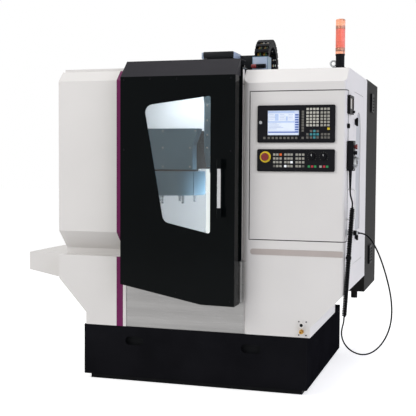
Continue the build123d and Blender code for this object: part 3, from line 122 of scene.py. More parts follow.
class CENTRE_PG_sizes(bpy.types.PropertyGroup):
    """Sizes of the small pieces."""
    cord: length_field("Cord", 8.5, "Diameter of the pendant cord")
    coil: length_field("Coil", 27, "Outside diameter of the cord's curly part")
    coil_pitch: length_field("Coil pitch", 9.2, "Distance between two turns of the curly part")
    screw: length_field("Screw head", 12, "Diameter of the panel screws' heads")
    bead: length_field("Window bead", 3, "Width of the rubber bead round the window")
    key_width: length_field("Key width", 13, "Width of a membrane key")
    key_height: length_field("Key height", 12, "Height of a membrane key")


def colours():
    """The chosen colours."""
    return bpy.context.scene.centre_colours


def sizes():
    """The chosen sizes."""
    return bpy.context.scene.centre_sizes


# Modelling by hand, in small steps

def only(*objects):
    """Leaves these objects alone selected, the first of them active."""
    if bpy.context.mode != "OBJECT":
        bpy.ops.object.mode_set(mode="OBJECT")
    bpy.ops.object.select_all(action="DESELECT")
    for each in objects:
        each.select_set(True)
    if objects:
        bpy.context.view_layer.objects.active = objects[0]


def settle(piece):
    """Writes a piece's place into its mesh."""
    only(piece)
    bpy.ops.object.transform_apply(location=True, rotation=True, scale=True)
    return piece


def smooth(piece, degrees=32):
    """Smooth shading, but for edges sharper than the angle."""
    only(piece)
    bpy.ops.object.shade_smooth_by_angle(angle=math.radians(degrees))
    return piece


def pick_faces(piece, wanted):
    """Selects the faces that a test of centre and normal names, in face mode."""
    only(piece)
    bpy.ops.object.mode_set(mode="EDIT")
    bpy.ops.mesh.select_mode(type="FACE")
    bpy.ops.mesh.select_all(action="DESELECT")
    bpy.ops.object.mode_set(mode="OBJECT")
    for face in piece.data.polygons:
        face.select = wanted(face.center / MM, face.normal)
    bpy.ops.object.mode_set(mode="EDIT")


def pick_edges(piece, wanted):
    """Selects the edges that a test of their two ends names, in edge mode."""
    only(piece)
    bpy.ops.object.mode_set(mode="EDIT")
    bpy.ops.mesh.select_mode(type="EDGE")
    bpy.ops.mesh.select_all(action="DESELECT")
    bpy.ops.object.mode_set(mode="OBJECT")
    points = piece.data.vertices
    for edge in piece.data.edges:
        edge.select = wanted(points[edge.vertices[0]].co / MM, points[edge.vertices[1]].co / MM)
    bpy.ops.object.mode_set(mode="EDIT")


def dish(piece, wanted, rim, depth):
    """Sinks the faces that a test names, inside a rim, both in millimetres."""
    pick_faces(piece, wanted)
    bpy.ops.mesh.inset(thickness=rim * MM, depth=-depth * MM)
    bpy.ops.object.mode_set(mode="OBJECT")


def ease(piece, wanted, width, steps):
    """Breaks or rounds the edges that a test names, by a width in millimetres."""
    pick_edges(piece, wanted)
    bpy.ops.mesh.bevel(offset=width * MM, segments=steps, affect="EDGES")
    bpy.ops.object.mode_set(mode="OBJECT")


def slab(name, low, high, edge=1.0, steps=2):
    """A block between two corners, in millimetres, its edges broken by a bevel."""
    only()
    low, high = Vector(low), Vector(high)
    bpy.ops.mesh.primitive_cube_add(size=1, location=(low + high) / 2 * MM)
    piece = bpy.context.active_object
    piece.name = name
    piece.scale = (high - low) * MM
    settle(piece)
    bpy.ops.object.mode_set(mode="EDIT")
    bpy.ops.mesh.select_all(action="SELECT")
    bpy.ops.mesh.bevel(offset=edge * MM, segments=steps, affect="EDGES")
    bpy.ops.object.mode_set(mode="OBJECT")
    return smooth(piece)


def turned(name, foot, direction, rings, sides=32):
    """A turned piece: a disc drawn up ring by ring, each ring a rise and a radius in millimetres."""
    only()
    rise, radius = rings[0]
    bpy.ops.mesh.primitive_circle_add(vertices=sides, radius=radius * MM, fill_type="NGON", location=(0, 0, rise * MM))
    piece = bpy.context.active_object
    piece.name = name
    settle(piece)
    bpy.ops.object.mode_set(mode="EDIT")
    bpy.ops.mesh.select_all(action="SELECT")
    for next_rise, next_radius in rings[1:]:
        bpy.ops.mesh.extrude_region_move(TRANSFORM_OT_translate={"value": (0, 0, (next_rise - rise) * MM)})
        share = next_radius / radius
        bpy.ops.transform.resize(value=(share, share, 1), center_override=(0, 0, next_rise * MM))
        rise, radius = next_rise, next_radius
    bpy.ops.mesh.select_all(action="SELECT")
    bpy.ops.mesh.normals_make_consistent(inside=False)
    bpy.ops.object.mode_set(mode="OBJECT")
    piece.rotation_mode = "QUATERNION"
    piece.rotation_quaternion = Vector(UP).rotation_difference(Vector(direction))
    piece.location = Vector(foot) * MM
    settle(piece)
    return smooth(piece)


def line_of(name, points, order=3, closed=False):
    """A smooth line with these control points, in millimetres."""
    curve = bpy.data.curves.new(name, "CURVE")
    curve.dimensions = "3D"
    spline = curve.splines.new("NURBS")
    spline.points.add(len(points) - 1)
    for point, place in zip(spline.points, points):
        point.co = (*(Vector(place) * MM), 1)
    spline.order_u = order
    spline.use_endpoint_u = not closed
    spline.use_cyclic_u = closed
    piece = bpy.data.objects.new(name, curve)
    bpy.context.collection.objects.link(piece)
    return piece


def along(piece):
    """Points along a line that has no thickness, in millimetres."""
    mesh = bpy.data.meshes.new_from_object(piece.evaluated_get(bpy.context.evaluated_depsgraph_get()))
    points = [v.co / MM for v in mesh.vertices]
    bpy.data.meshes.remove(mesh)
    return points


def bar(name, points, radius, order=3, closed=False, turns=3):
    """A round bar or bead along a line, made a mesh."""
    piece = line_of(name, points, order, closed)
    piece.data.bevel_depth = radius * MM
    piece.data.bevel_resolution = turns
    piece.data.use_fill_caps = True
    only(piece)
    bpy.ops.object.convert(target="MESH")
    return smooth(bpy.context.active_object, 50)


def copies(name, piece, places, keep=False):
    """The piece copied by each shift in millimetres, every copy with its own mesh, then joined."""
    made = []
    for place in places:
        only(piece)
        bpy.ops.object.duplicate()
        copy = bpy.context.active_object
        copy.location = Vector(place) * MM
        made.append(settle(copy))
    if not keep:
        bpy.data.objects.remove(piece)
    return joined(name, made)


def joined(name, made):
    """Several pieces as one."""
    only(*made)
    if len(made) > 1:
        bpy.ops.object.join()
    piece = bpy.context.active_object
    piece.name = name
    return piece


def fit(piece, body, slot, finish, *nodes):
    """Gives a piece its finish, lets it ride a body and stand for solids; the slot is not used."""
    piece.data.materials.clear()
    piece.data.materials.append(bpy.data.materials[finish])
    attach(piece, body)
    if nodes:
        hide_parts(*nodes)
    return piece


def screw_head(name, direction, size=None):
    """A domed screw head with a socket, standing on the origin."""
    radius = (size or sizes().screw / MM) / 2
    rings = ((0, radius), (0.12 * radius, radius), (0.4 * radius, 0.86 * radius), (0.55 * radius, 0.6 * radius),
             (0.58 * radius, 0.42 * radius), (0.3 * radius, 0.38 * radius))
    return turned(name, (0, 0, 0), direction, rings, 16)


# Finishes

def add_node(tree, kind, inputs=None, **settings):
    """Adds a node, sets it and fills or links its sockets."""
    made = tree.nodes.new(kind)
    for key, value in settings.items():
        setattr(made, key, value)
    for key, value in (inputs or {}).items():
        if isinstance(value, bpy.types.NodeSocket):
            tree.links.new(value, made.inputs[key])
        else:
            made.inputs[key].default_value = value
    return made


def finish(name, colour, rough, grain=3.0, depth=0.02, tone=0.05, patch=260, spread=0.05, stretch=(1, 1, 1),
           sockets=None):
    """A material with a surface grain and a slow change of tone, both sized in millimetres."""
    material = bpy.data.materials.new(name)
    material.use_nodes = True
    tree = material.node_tree
    shader = tree.nodes["Principled BSDF"]
    place = add_node(tree, "ShaderNodeTexCoord").outputs["Object"]
    drawn = add_node(tree, "ShaderNodeMapping", {"Vector": place, "Scale": stretch}).outputs["Vector"]
    fine = add_node(tree, "ShaderNodeTexNoise", {"Vector": drawn, "Scale": 1 / (grain * MM), "Detail": 2.0})
    slow = add_node(tree, "ShaderNodeTexNoise", {"Vector": drawn if stretch != (1, 1, 1) else place,
                                                 "Scale": 1 / (patch * MM), "Detail": 4.0})
    tint = add_node(tree, "ShaderNodeValToRGB", {"Fac": slow.outputs[0]})
    tint.color_ramp.elements[0].position = 0.3
    tint.color_ramp.elements[0].color = (*(c * (1 - tone) for c in colour), 1)
    tint.color_ramp.elements[1].position = 0.7
    tint.color_ramp.elements[1].color = (*(min(1, c * (1 + tone)) for c in colour), 1)
    tree.links.new(tint.outputs["Color"], shader.inputs["Base Color"])
    gloss = add_node(tree, "ShaderNodeMapRange", {"Value": fine.outputs[0], "From Min": 0.3, "From Max": 0.7,
                                                  "To Min": max(0.0, rough - spread), "To Max": rough + spread})
    tree.links.new(gloss.outputs[0], shader.inputs["Roughness"])
    relief = add_node(tree, "ShaderNodeBump", {"Height": fine.outputs[0], "Strength": 0.6, "Distance": depth * MM})
    tree.links.new(relief.outputs["Normal"], shader.inputs["Normal"])
    for key, value in (sockets or {}).items():
        shader.inputs[key].default_value = value
    return material


def glow(name, colour, strength):
    """A lit plastic face: the same colour as paint and as light."""
    return finish(name, colour, 0.35, 2.0, 0.0, 0.03, 40,
                  sockets={"Emission Color": (*colour, 1), "Emission Strength": strength})


FINISH_OF_SLOT = {
    "panel_white": "powder_coat_offwhite", "accent_plum": "satin_paint_plum", "base_black": "powder_coat_black",
    "door_black": "gloss_enamel_black", "hood_grey": "powder_coat_charcoal", "window_glass": "safety_glass",
    "apron_steel": "brushed_stainless", "handle_chrome": "chrome_plate", "casting_grey": "painted_cast_iron",
    # The bed takes the near-black cast iron finish: painted shade inside the plinth's hand slots and in the gap under
    # the plinth.
    "bed_dark": "painted_cast_iron_dark", "table_iron": "ground_cast_iron", "head_grey": "enamel_blue_grey",
    "motor_black": "enamel_motor_black",
    "tool_steel": "ground_tool_steel", "chain_black": "moulded_nylon_black", "disc_alloy": "machined_aluminium",
    "unit_dark": "moulded_abs_dark", "screen_glass": "display_backlight", "key_grey": "membrane_grey",
    "stop_yellow": "moulded_abs_yellow", "stop_red": "moulded_abs_red", "knob_black": "moulded_nylon_black",
    "coupling_brass": "turned_brass", "zinc_steel": "zinc_plated_steel", "cord_black": "polyurethane_jacket",
    "rear_grey": "powder_coat_taupe", "drive_grey": "powder_coat_drive", "lamp_orange": "polycarbonate_lens",
    "hook_white": "dipped_vinyl_white",
}


class CENTRE_OT_finishes(bpy.types.Operator):
    """Makes every finish and gives each solid its own"""
    bl_idname = "centre.finishes"
    bl_label = "Finishes"

    def execute(self, context):
        paint = colours()
        metal = {"Metallic": 1.0}
        dull = {"Specular IOR Level": 0.06}
        # Powder coat on sheet steel: satin, with the soft orange peel of baked powder, drawn coarse enough to show
        finish("powder_coat_offwhite", paint.panel, 0.42, 4.0, 0.03, 0.025, 420)
        finish("powder_coat_black", paint.base, 0.55, 3.0, 0.05, 0.16, 180, sockets={"Specular IOR Level": 0.0})
        finish("powder_coat_charcoal", paint.hood, 0.5, 3.0, 0.05, 0.08, 160, sockets=dull)
        finish("powder_coat_taupe", paint.rear, 0.55, 3.5, 0.04, 0.08, 260, sockets={"Specular IOR Level": 0.02})
        finish("powder_coat_drive", linear("#B4B6B8"), 0.45, 3.0, 0.03, 0.04, 120)
        finish("powder_coat_groove", paint.groove, 0.5, 3.0, 0.04, 0.05, 140)
        # Sprayed satin paint: smoother than powder
        finish("satin_paint_plum", paint.accent, 0.34, 5.0, 0.01, 0.06, 120, sockets={"Specular IOR Level": 0.2})
        # Gloss enamel: black and mirror-like under a clear coat, with faint long waves
        finish("gloss_enamel_black", paint.door, 0.13, 60.0, 0.06, 0.12, 320, 0.03,
               sockets={"Specular IOR Level": 0.05})
        # Enamel over a casting: smooth but not flat
        # A paler copy of the head's blue-grey enamel: painted highlight of the light falling on the spindle motor's
        # side plates and on the terminal box's lid.
        finish("enamel_box_pale", linear("#A3B2C8"), 0.36, 9.0, 0.08, 0.05, 80)
        finish("enamel_blue_grey", paint.head, 0.36, 9.0, 0.12, 0.07, 150)
        finish("enamel_motor_black", linear("#28292B"), 0.38, 6.0, 0.06, 0.12, 90, sockets=dull)
        # Painted cast iron: the sand mould's lumps show through the paint
        finish("painted_cast_iron", paint.casting, 0.52, 5.0, 0.35, 0.08, 130)
        # Near-black copy of the castings' paint: painted shade on the bed and on the plate by the changer's flank; also
        # the guard's dark collar.
        finish("painted_cast_iron_dark", linear("#18191B"), 0.55, 5.0, 0.35, 0.12, 130, sockets=dull)
        # Ground cast iron: grey, with fine lines along the table
        finish("ground_cast_iron", linear("#8A8B8D"), 0.34, 1.6, 0.02, 0.1, 60, 0.1, (0.03, 1, 1), metal)
        # Brushed stainless sheet: short lines across the panel
        finish("brushed_stainless", linear("#908F8E"), 0.36, 2.2, 0.03, 0.07, 30, 0.1, (0.02, 1, 1), metal)
        # Chrome plate: near mirror
        finish("chrome_plate", linear("#C4C4C6"), 0.07, 8.0, 0.002, 0.02, 60, 0.03, sockets=metal)
        # Ground tool steel: bright, with turning lines round the axis drawn as bands in height
        finish("ground_tool_steel", linear("#B5B7BA"), 0.26, 1.5, 0.01, 0.08, 8, 0.08, (0.05, 0.05, 1), metal)
        finish("machined_aluminium", linear("#C3C6CA"), 0.32, 1.4, 0.01, 0.06, 30, 0.08, sockets=metal)
        finish("turned_brass", linear("#B58E43"), 0.27, 1.2, 0.01, 0.1, 7, 0.08, sockets=metal)
        finish("zinc_plated_steel", linear("#A5A7A9"), 0.36, 3.0, 0.02, 0.12, 14, 0.1, sockets=metal)
        # Moulded plastics: a fine spark-eroded texture
        finish("moulded_nylon_black", linear("#131316"), 0.46, 1.6, 0.05, 0.12, 30, sockets=dull)
        finish("moulded_abs_dark", linear("#19191C"), 0.42, 1.4, 0.03, 0.08, 60, sockets=dull)
        finish("moulded_abs_yellow", linear("#E6C41C"), 0.38, 2.0, 0.02, 0.06, 20)
        finish("moulded_abs_red", linear("#780D11"), 0.26, 2.0, 0.01, 0.08, 20)
        finish("dipped_vinyl_white", linear("#E4E4E2"), 0.36, 2.5, 0.03, 0.03, 30)
        # Membrane keys: printed film over domes, soft sheen
        for key, text in (("grey", "#9C9A90"), ("light", "#BBB9AE"), ("dark", "#5C5A54"), ("teal", "#34858E"),
                          ("yellow", "#D9BE1E"), ("orange", "#E8641C"), ("green", "#1E8348"), ("red", "#AC1C32")):
            finish("membrane_" + key, linear(text), 0.44, 1.2, 0.02, 0.05, 12)
        glow("membrane_white_lit", linear("#E8ECEF"), 0.3)
        # Display: an even back light behind glass
        glow("display_backlight", linear("#C9D5EC"), 0.16)
        glow("display_blue", linear("#4560A8"), 0.2)
        glow("display_pale", linear("#B4C8EA"), 0.16)
        glow("display_white", linear("#DCE5F3"), 0.2)
        glow("display_ink", linear("#A3B2CF"), 0.16)
        glow("lamp_diffuser", linear("#FFFFFF"), 3.0)
        # Rubber and cable jackets
        finish("jacket_green", linear("#2C5A30"), 0.4, 2.5, 0.02, 0.1, 40)
        finish("jacket_yellow", linear("#8F6C1E"), 0.4, 2.5, 0.02, 0.1, 40)
        finish("rubber_black", linear("#101012"), 0.55, 2.0, 0.04, 0.1, 25, sockets=dull)
        finish("polyurethane_jacket", linear("#0C0C0E"), 0.36, 2.5, 0.02, 0.1, 40, sockets=dull)
        # Laminated safety glass: clear, faintly green, a little smeared
        finish("safety_glass", linear("#EAF1EF"), 0.03, 70.0, 0.0, 0.01, 300, 0.02,
               sockets={"Transmission Weight": 1.0, "IOR": 1.46})
        # Smoked acrylic over the service gauges
        finish("smoked_acrylic", linear("#5A4638"), 0.12, 30.0, 0.0, 0.1, 60, 0.03,
               sockets={"Coat Weight": 0.4, "Coat Roughness": 0.04})
        finish("polycarbonate_core", linear("#F59AA4"), 0.3, 4.0, 0.05, 0.08, 12, stretch=(1, 1, 0.05))
        # Polycarbonate lens: coloured right through, ribbed inside, a little light of its own
        lens = finish("polycarbonate_lens", paint.lens, 0.2, 5.0, 0.3, 0.12, 30, 0.05, (0.2, 0.2, 3),
                      {"Transmission Weight": 0.95, "Emission Strength": 0.06})
        lens.node_tree.nodes["Principled BSDF"].inputs["Emission Color"].default_value = (*paint.lens, 1)
        for part in frame["record"]["subparts"]:
            solid = frame["nodes"][part["node"]]
            name = FINISH_OF_SLOT[part["material_slot"]]
            if not solid.material_slots:
                raise RuntimeError(part["node"] + " has no material slot")
            for place in solid.material_slots:
                place.material = bpy.data.materials[name]
        return {"FINISHED"}


# Pendant cord and cable chain

class CENTRE_OT_pendant_cord(bpy.types.Operator):
    """Draws the pendant's curly cord as one line and ties its slack"""
    bl_idname = "centre.pendant_cord"
    bl_label = "Pendant cord"

    def execute(self, context):
        radius = sizes().cord / MM / 2
        reach = sizes().coil / MM / 2 - radius
        guide = line_of("coil_guide", COIL_ROUTE)
        guide.data.resolution_u = 24
        axis = along(guide)
        bpy.data.objects.remove(guide)
        start, end = axis[0], axis[-1]
        span = (end - start).length
        turns = round(span / (sizes().coil_pitch / MM))
        heading = (end - start).normalized()
        side = heading.cross(Vector(OUT_FRONT)).normalized()
        other = heading.cross(side)
        helix = []
        count = turns * 12
        for i in range(1, count):
            angle = 2 * math.pi * i / 12
            swell = min(1, i / 14, (count - i) / 14)
            offset = side * math.cos(angle) + other * math.sin(angle)
            helix.append(start + heading * (span * i / count) + offset * (reach * swell))
        cord = line_of("pendant_cord", (*LEAD_ROUTE[:-1], *helix, *TAIL_ROUTE[1:]))
        cord.data.resolution_u = 3
        cord.data.bevel_depth = radius * MM
        cord.data.bevel_resolution = 3
        cord.data.use_fill_caps = True
        fit(cord, "frame", "cord_black", "polyurethane_jacket", "cord_leads", "cord_coil")
        middle = start + (end - start) * 0.46
        tie = turned("cord_tie", middle - heading * 9, heading,
                     ((0, 12.2), (1, 14.4), (5, 15.2), (13, 15.2), (17, 14.4), (18, 12.2)), 24)
        fit(tie, "frame", "knob_black", "rubber_black")
        return {"FINISHED"}


CHAIN_LEFT, CHAIN_RIGHT, CHAIN_THICK, CHAIN_RADIUS = 165, 255, 50, 125
CHAIN_FRONT, CHAIN_FOOT, CHAIN_MID, CHAIN_ARM, CHAIN_PITCH = 135, 1517, 1895, 1790, 42


def chain_link():
    """One link about the origin, along Z: two dished side plates, two cross bars and a hinge boss each side."""
    half = CHAIN_THICK / 2
    parts = []
    for x, way in ((CHAIN_LEFT, 1), (CHAIN_RIGHT, -1)):
        plate = slab("link_plate", (min(x, x + way * 9), -half, -18.5), (max(x, x + way * 9), half, 18.5), 2.5)
        dish(plate, lambda centre, normal: abs(normal.x) > 0.99, 5, 1.6)
        parts.append(plate)
        boss = turned("link_boss", (x, 0, -19), (-way, 0, 0), ((-7, 9), (-0.4, 9), (-0.4, 7), (0, 5)), 16)
        parts.append(boss)
    for y in (-half + 4, half - 4):
        parts.append(slab("link_bar", (CHAIN_LEFT + 6, y - 4, -12), (CHAIN_RIGHT - 6, y + 4, 12), 2))
    return joined("chain_link", parts)


class CENTRE_OT_cable_chain(bpy.types.Operator):
    """Builds the cable chain link by link, with the cables inside it"""
    bl_idname = "centre.cable_chain"
    bl_label = "Cable chain"

    def execute(self, context):
        middle = CHAIN_FRONT + CHAIN_THICK / 2 + CHAIN_RADIUS
        places = []
        steps = 10
        for i in range(steps):
            angle = math.pi * (i + 0.5) / steps
            places.append((middle - CHAIN_RADIUS * math.cos(angle), CHAIN_MID + CHAIN_RADIUS * math.sin(angle), angle))
        count = round((CHAIN_MID - CHAIN_ARM) / CHAIN_PITCH)
        for i in range(count):
            rise = (CHAIN_MID - CHAIN_ARM) / count
            places.append((middle - CHAIN_RADIUS, CHAIN_ARM + (i + 0.5) * rise, 0))
        for i in range(9):
            places.append((middle + CHAIN_RADIUS, CHAIN_FOOT + (i + 0.5) * CHAIN_PITCH, math.pi))
        link = chain_link()
        made = []
        for y, z, angle in places:
            only(link)
            bpy.ops.object.duplicate()
            copy = bpy.context.active_object
            copy.rotation_euler = (-angle, 0, 0)
            copy.location = Vector((0, y, z)) * MM
            made.append(settle(copy))
        bpy.data.objects.remove(link)
        cables = ([], [], [])
        for i, radius in enumerate((7, 5, 8, 6, 5)):
            x = CHAIN_LEFT + 20 + i * 12.5
            ring = [(x, middle - CHAIN_RADIUS * math.cos(math.pi * k / 12),
                     CHAIN_MID + CHAIN_RADIUS * math.sin(math.pi * k / 12)) for k in range(13)]
            path = [(x, middle - CHAIN_RADIUS, CHAIN_ARM), *ring, (x, middle + CHAIN_RADIUS, CHAIN_FOOT + 2)]
            cables[i % 3].append(bar("chain_cable", path, radius, 3, False, 2))
        chain = joined("cable_chain", made)
        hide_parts("energy_chain")
        sets = [joined("chain_cables_" + str(i), group) for i, group in enumerate(cables)]
        for piece, name in zip((chain, *sets), ("moulded_nylon_black", "jacket_yellow", "jacket_green",
                                                "polyurethane_jacket")):
            piece.data.materials.clear()
            piece.data.materials.append(bpy.data.materials[name])
            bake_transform(piece)
        return {"FINISHED"}


# Door

WINDOW_LOOP = ((139, 1623, 12), (-247, 1575, 46), (-132, 935, 46), (139, 875, 12))
DOOR_SCREWS = ((-364, 1716), (-210, 1718), (-54, 1716), (251, 1714), (-364, 1330), (253, 1325), (-363, 592), (-55, 545),
               (253, 512))


def rounded_loop(corners, y):
    """A loop in the door's plane with an arc at each corner, as points in millimetres."""
    points = []
    for i, (x, z, radius) in enumerate(corners):
        corner = Vector((x, z))
        before = (Vector(corners[i - 1][:2]) - corner).normalized()
        after = (Vector(corners[(i + 1) % len(corners)][:2]) - corner).normalized()
        half = before.angle(after) / 2
        centre = corner + (before + after).normalized() * (radius / math.sin(half))
        first = corner + before * (radius / math.tan(half)) - centre
        last = corner + after * (radius / math.tan(half)) - centre
        sweep = first.angle_signed(last)
        for k in range(9):
            turn = Matrix.Rotation(-sweep * k / 8, 2)
            spot = centre + turn @ first
            points.append((spot.x, y, spot.y))
    return points


class CENTRE_OT_door_trim(bpy.types.Operator):
    """Beads the window, screws the door, collars its handle and closes the gaps beside the jambs"""
    bl_idname = "centre.door_trim"
    bl_label = "Door trim"

    def execute(self, context):
        bead = bar("window_bead", rounded_loop(WINDOW_LOOP, DOOR_FACE + 0.5), sizes().bead / MM / 2, 2, True, 2)
        fit(bead, "door", "door_black", "rubber_black")
        screws = copies("door_screws", screw_head("door_screw", OUT_FRONT),
                        [(x, DOOR_FACE, z) for x, z in DOOR_SCREWS])
        fit(screws, "door", "knob_black", "moulded_nylon_black")
        jamb = slab("jamb_return", (282.5, FRONT + 2, 492), (285.7, FRONT + 42, 1772), 0.5, 1)
        fit(jamb, "frame", "panel_white", "powder_coat_offwhite")
        brush = slab("jamb_brush", (-397, FRONT + 0.8, 762), (-366, FRONT + 3.2, 1688), 0.5, 1)
        fit(brush, "frame", "door_black", "rubber_black")
        collars = []
        for z in (1000, 1251):
            collars.append(turned("collar", (*HANDLE_AXIS, z - 8), UP, ((0, 11.4), (1, 13), (15, 13), (16, 11.4)), 32))
        fit(joined("handle_collars", collars), "door", "handle_chrome", "chrome_plate")
        return {"FINISHED"}


# Operator panels

KEY_COLUMNS = (0.651, 0.694, 0.736, 0.779, 0.831, 0.874, 0.917)
KEY_ROWS = (0.110, 0.205, 0.295, 0.375, 0.455, 0.540)
BLOCK_COLUMNS, BLOCK_ROWS = (0.651, 0.698, 0.740, 0.782, 0.838, 0.880, 0.922), (0.780, 0.865)
ARROW_COLUMNS, ARROW_TOP, SELECT_KEY = (0.698, 0.740, 0.782), 0.695, (0.919, 0.634)
SOFT_ROW, SOFT_ROW_TOP = (0.093, 0.152, 0.204, 0.254, 0.306, 0.356, 0.406, 0.458, 0.508, 0.591), 0.875
SOFT_COLUMN_LEFT, SOFT_COLUMN = 0.591, (0.180, 0.250, 0.320, 0.395, 0.465, 0.535, 0.610, 0.680)
MACHINE_COLUMNS = (0.226, 0.266, 0.309, 0.371, 0.413, 0.451, 0.518, 0.558, 0.601)
MACHINE_ROWS = (0.242, 0.417, 0.583, 0.758)
START_ROW, START_TOP = (0.675, 0.717, 0.755, 0.824, 0.869, 0.907), 0.767
KNOBS, KNOB_HEIGHT = ((300, "feed_knob"), (363, "speed_knob")), MACHINE_LOW + MACHINE_HEIGHT - 39


def operator_place(across, down):
    """A key's place on the operator unit."""
    return (UNIT_LEFT + across * UNIT_WIDTH, UNIT_FACE, OPERATOR_LOW + OPERATOR_HEIGHT * (1 - down))


def machine_place(across, down):
    """A key's place on the machine unit."""
    return (UNIT_LEFT + across * UNIT_WIDTH, UNIT_FACE, MACHINE_LOW + MACHINE_HEIGHT * (1 - down))


def key_cap():
    """One membrane key about the origin: a low cap with a shallow dish in its face."""
    width, height = sizes().key_width / MM / 2, sizes().key_height / MM / 2
    cap = slab("key_cap", (-width, -2, -height), (width, 0, height), 0.8, 1)
    dish(cap, lambda centre, normal: normal.y < -0.99, 1.4, 0.5)
    return cap


class CENTRE_OT_keys(bpy.types.Operator):
    """Sets the membrane keys of both units, one piece for each colour"""
    bl_idname = "centre.keys"
    bl_label = "Keys"

    def execute(self, context):
        groups = {
            "light": [operator_place(x, z) for x in KEY_COLUMNS[:4] for z in KEY_ROWS],
            "grey": [operator_place(x, z) for x in KEY_COLUMNS[4:] for z in KEY_ROWS],
            "dark": [operator_place(x, SOFT_ROW_TOP) for x in SOFT_ROW],
            "teal": [], "yellow": [operator_place(*SELECT_KEY)], "orange": [], "green": [], "red": [], "white_lit": [],
        }
        groups["dark"] += [operator_place(SOFT_COLUMN_LEFT, z) for z in SOFT_COLUMN]
        arrows = {(0.740, ARROW_TOP), (0.698, 0.780), (0.740, 0.780), (0.782, 0.780), (0.740, 0.865)}
        for place in [(x, z) for x in BLOCK_COLUMNS for z in BLOCK_ROWS] + [(x, ARROW_TOP) for x in ARROW_COLUMNS]:
            groups["teal" if place in arrows else "dark"].append(operator_place(*place))
        odd = {(2, 0): "orange", (5, 2): "white_lit", (3, 3): "white_lit", (0, 3): "dark", (8, 3): "dark"}
        for i, x in enumerate(MACHINE_COLUMNS):
            for k, z in enumerate(MACHINE_ROWS):
                groups[odd.get((i, k), "grey")].append(machine_place(x, z))
        for x, kind in zip(START_ROW, ("green", "red", "green", "grey", "red", "green")):
            groups[kind].append(machine_place(x, START_TOP))
        cap = key_cap()
        for kind, places in groups.items():
            keys = copies("keys_" + kind, cap, places, True)
            nodes = ("panel_keys",) if kind == "light" else ()
            fit(keys, "frame", "key_grey", "membrane_" + kind, *nodes)
        bpy.data.objects.remove(cap)
        return {"FINISHED"}


SCREEN_LEFT, SCREEN_RIGHT, SCREEN_LOW, SCREEN_HIGH, SCREEN_FACE = 429, 601, 1412, 1544, -594.5


class CENTRE_OT_screen(bpy.types.Operator):
    """Lays a plain picture of fields and bars on the operator screen, and its bezel"""
    bl_idname = "centre.screen"
    bl_label = "Screen"

    def execute(self, context):
        def field(name, left, right, low, high, proud):
            return slab(name, (SCREEN_LEFT + left, SCREEN_FACE - proud, SCREEN_LOW + low),
                        (SCREEN_LEFT + right, SCREEN_FACE + 0.4, SCREEN_LOW + high), 0.15, 1)

        blue = [field("bar", 3, 150, 13, 19, 0.4)]
        blue += [field("bar", 150, 169, 104 - i * 13, 112 - i * 13, 0.4) for i in range(8)]
        pale = [field("band", 3, 146, 119, 128, 0.4), field("band", 3, 146, 68, 74, 0.4),
                field("band", 40, 60, 78, 114, 0.6), field("band", 100, 110, 78, 100, 0.6)]
        white = [field("field", 3, 146, 76, 116, 0.4), field("field", 3, 146, 24, 66, 0.4),
                 field("field", 3, 169, 3, 10, 0.4)]
        ink = [field("line", 8, 34 + 5 * (i % 3), 109 - i * 8, 111 - i * 8, 0.7) for i in range(4)]
        ink += [field("line", 66, 92 + 5 * (i % 2), 109 - i * 8, 111 - i * 8, 0.7) for i in range(4)]
        ink += [field("line", 8, 50 + 12 * (i % 4), 61 - i * 7, 63 - i * 7, 0.7) for i in range(5)]
        ink += [field("line", 114, 138, 109 - i * 8, 111 - i * 8, 0.7) for i in range(4)]
        for name, parts, glass in (("screen_bars", blue, "display_blue"), ("screen_bands", pale, "display_pale"),
                                   ("screen_fields", white, "display_white"), ("screen_lines", ink, "display_ink")):
            fit(joined(name, parts), "frame", "screen_glass", glass)
        left, right, low, high = SCREEN_LEFT - 2, SCREEN_RIGHT + 2, SCREEN_LOW - 2, SCREEN_HIGH + 2
        loop = rounded_loop(((right, high, 4), (left, high, 4), (left, low, 4), (right, low, 4)), UNIT_FACE)
        rim = bar("screen_rim", loop, 1.6, 2, True, 2)
        fit(rim, "frame", "knob_black", "moulded_nylon_black")
        return {"FINISHED"}


class CENTRE_OT_unit_trim(bpy.types.Operator):
    """Frames both units, marks the override dials and the knobs, and adds the unit's side port"""
    bl_idname = "centre.unit_trim"
    bl_label = "Unit trim"

    def execute(self, context):
        rims = []
        right = UNIT_LEFT + UNIT_WIDTH
        for low, high in ((OPERATOR_LOW, OPERATOR_LOW + OPERATOR_HEIGHT), (MACHINE_LOW, MACHINE_LOW + MACHINE_HEIGHT)):
            loop = rounded_loop(((right - 3, high - 3, 7), (UNIT_LEFT + 3, high - 3, 7), (UNIT_LEFT + 3, low + 3, 7),
                                 (right - 3, low + 3, 7)), UNIT_FACE + 0.2)
            rims.append(bar("unit_rim", loop, 1.8, 2, True, 2))
        fit(joined("unit_rims", rims), "frame", "unit_dark", "moulded_abs_dark")
        port = turned("unit_port", (UNIT_LEFT + 18, UNIT_FACE, OPERATOR_LOW + 108), OUT_FRONT,
                      ((0, 9), (1.5, 9), (3, 8), (3.4, 6), (2, 5.6)), 32)
        fit(port, "frame", "zinc_steel", "zinc_plated_steel")
        ticks = []
        for across, _ in KNOBS:
            for i in range(11):
                angle = math.radians(-130 + 26 * i)
                tick = slab("tick", (-0.7, -0.5, 21.5), (0.7, 0.1, 25 if i % 5 else 27), 0.2, 1)
                tick.rotation_euler = (0, angle, 0)
                tick.location = Vector((UNIT_LEFT + across, UNIT_FACE, KNOB_HEIGHT)) * MM
                ticks.append(settle(tick))
        fit(joined("dial_ticks", ticks), "frame", "key_grey", "membrane_dark")
        for across, body in KNOBS:
            spot = (UNIT_LEFT + across, UNIT_FACE - 20.3, KNOB_HEIGHT)
            line = slab("pointer", (spot[0] - 1, spot[1] - 0.4, spot[2] + 2), (spot[0] + 1, spot[1] + 1, spot[2] + 13),
                        0.3, 1)
            line.name = body + "_pointer"
            fit(line, body, "hook_white", "dipped_vinyl_white")
        return {"FINISHED"}


# Cabinet

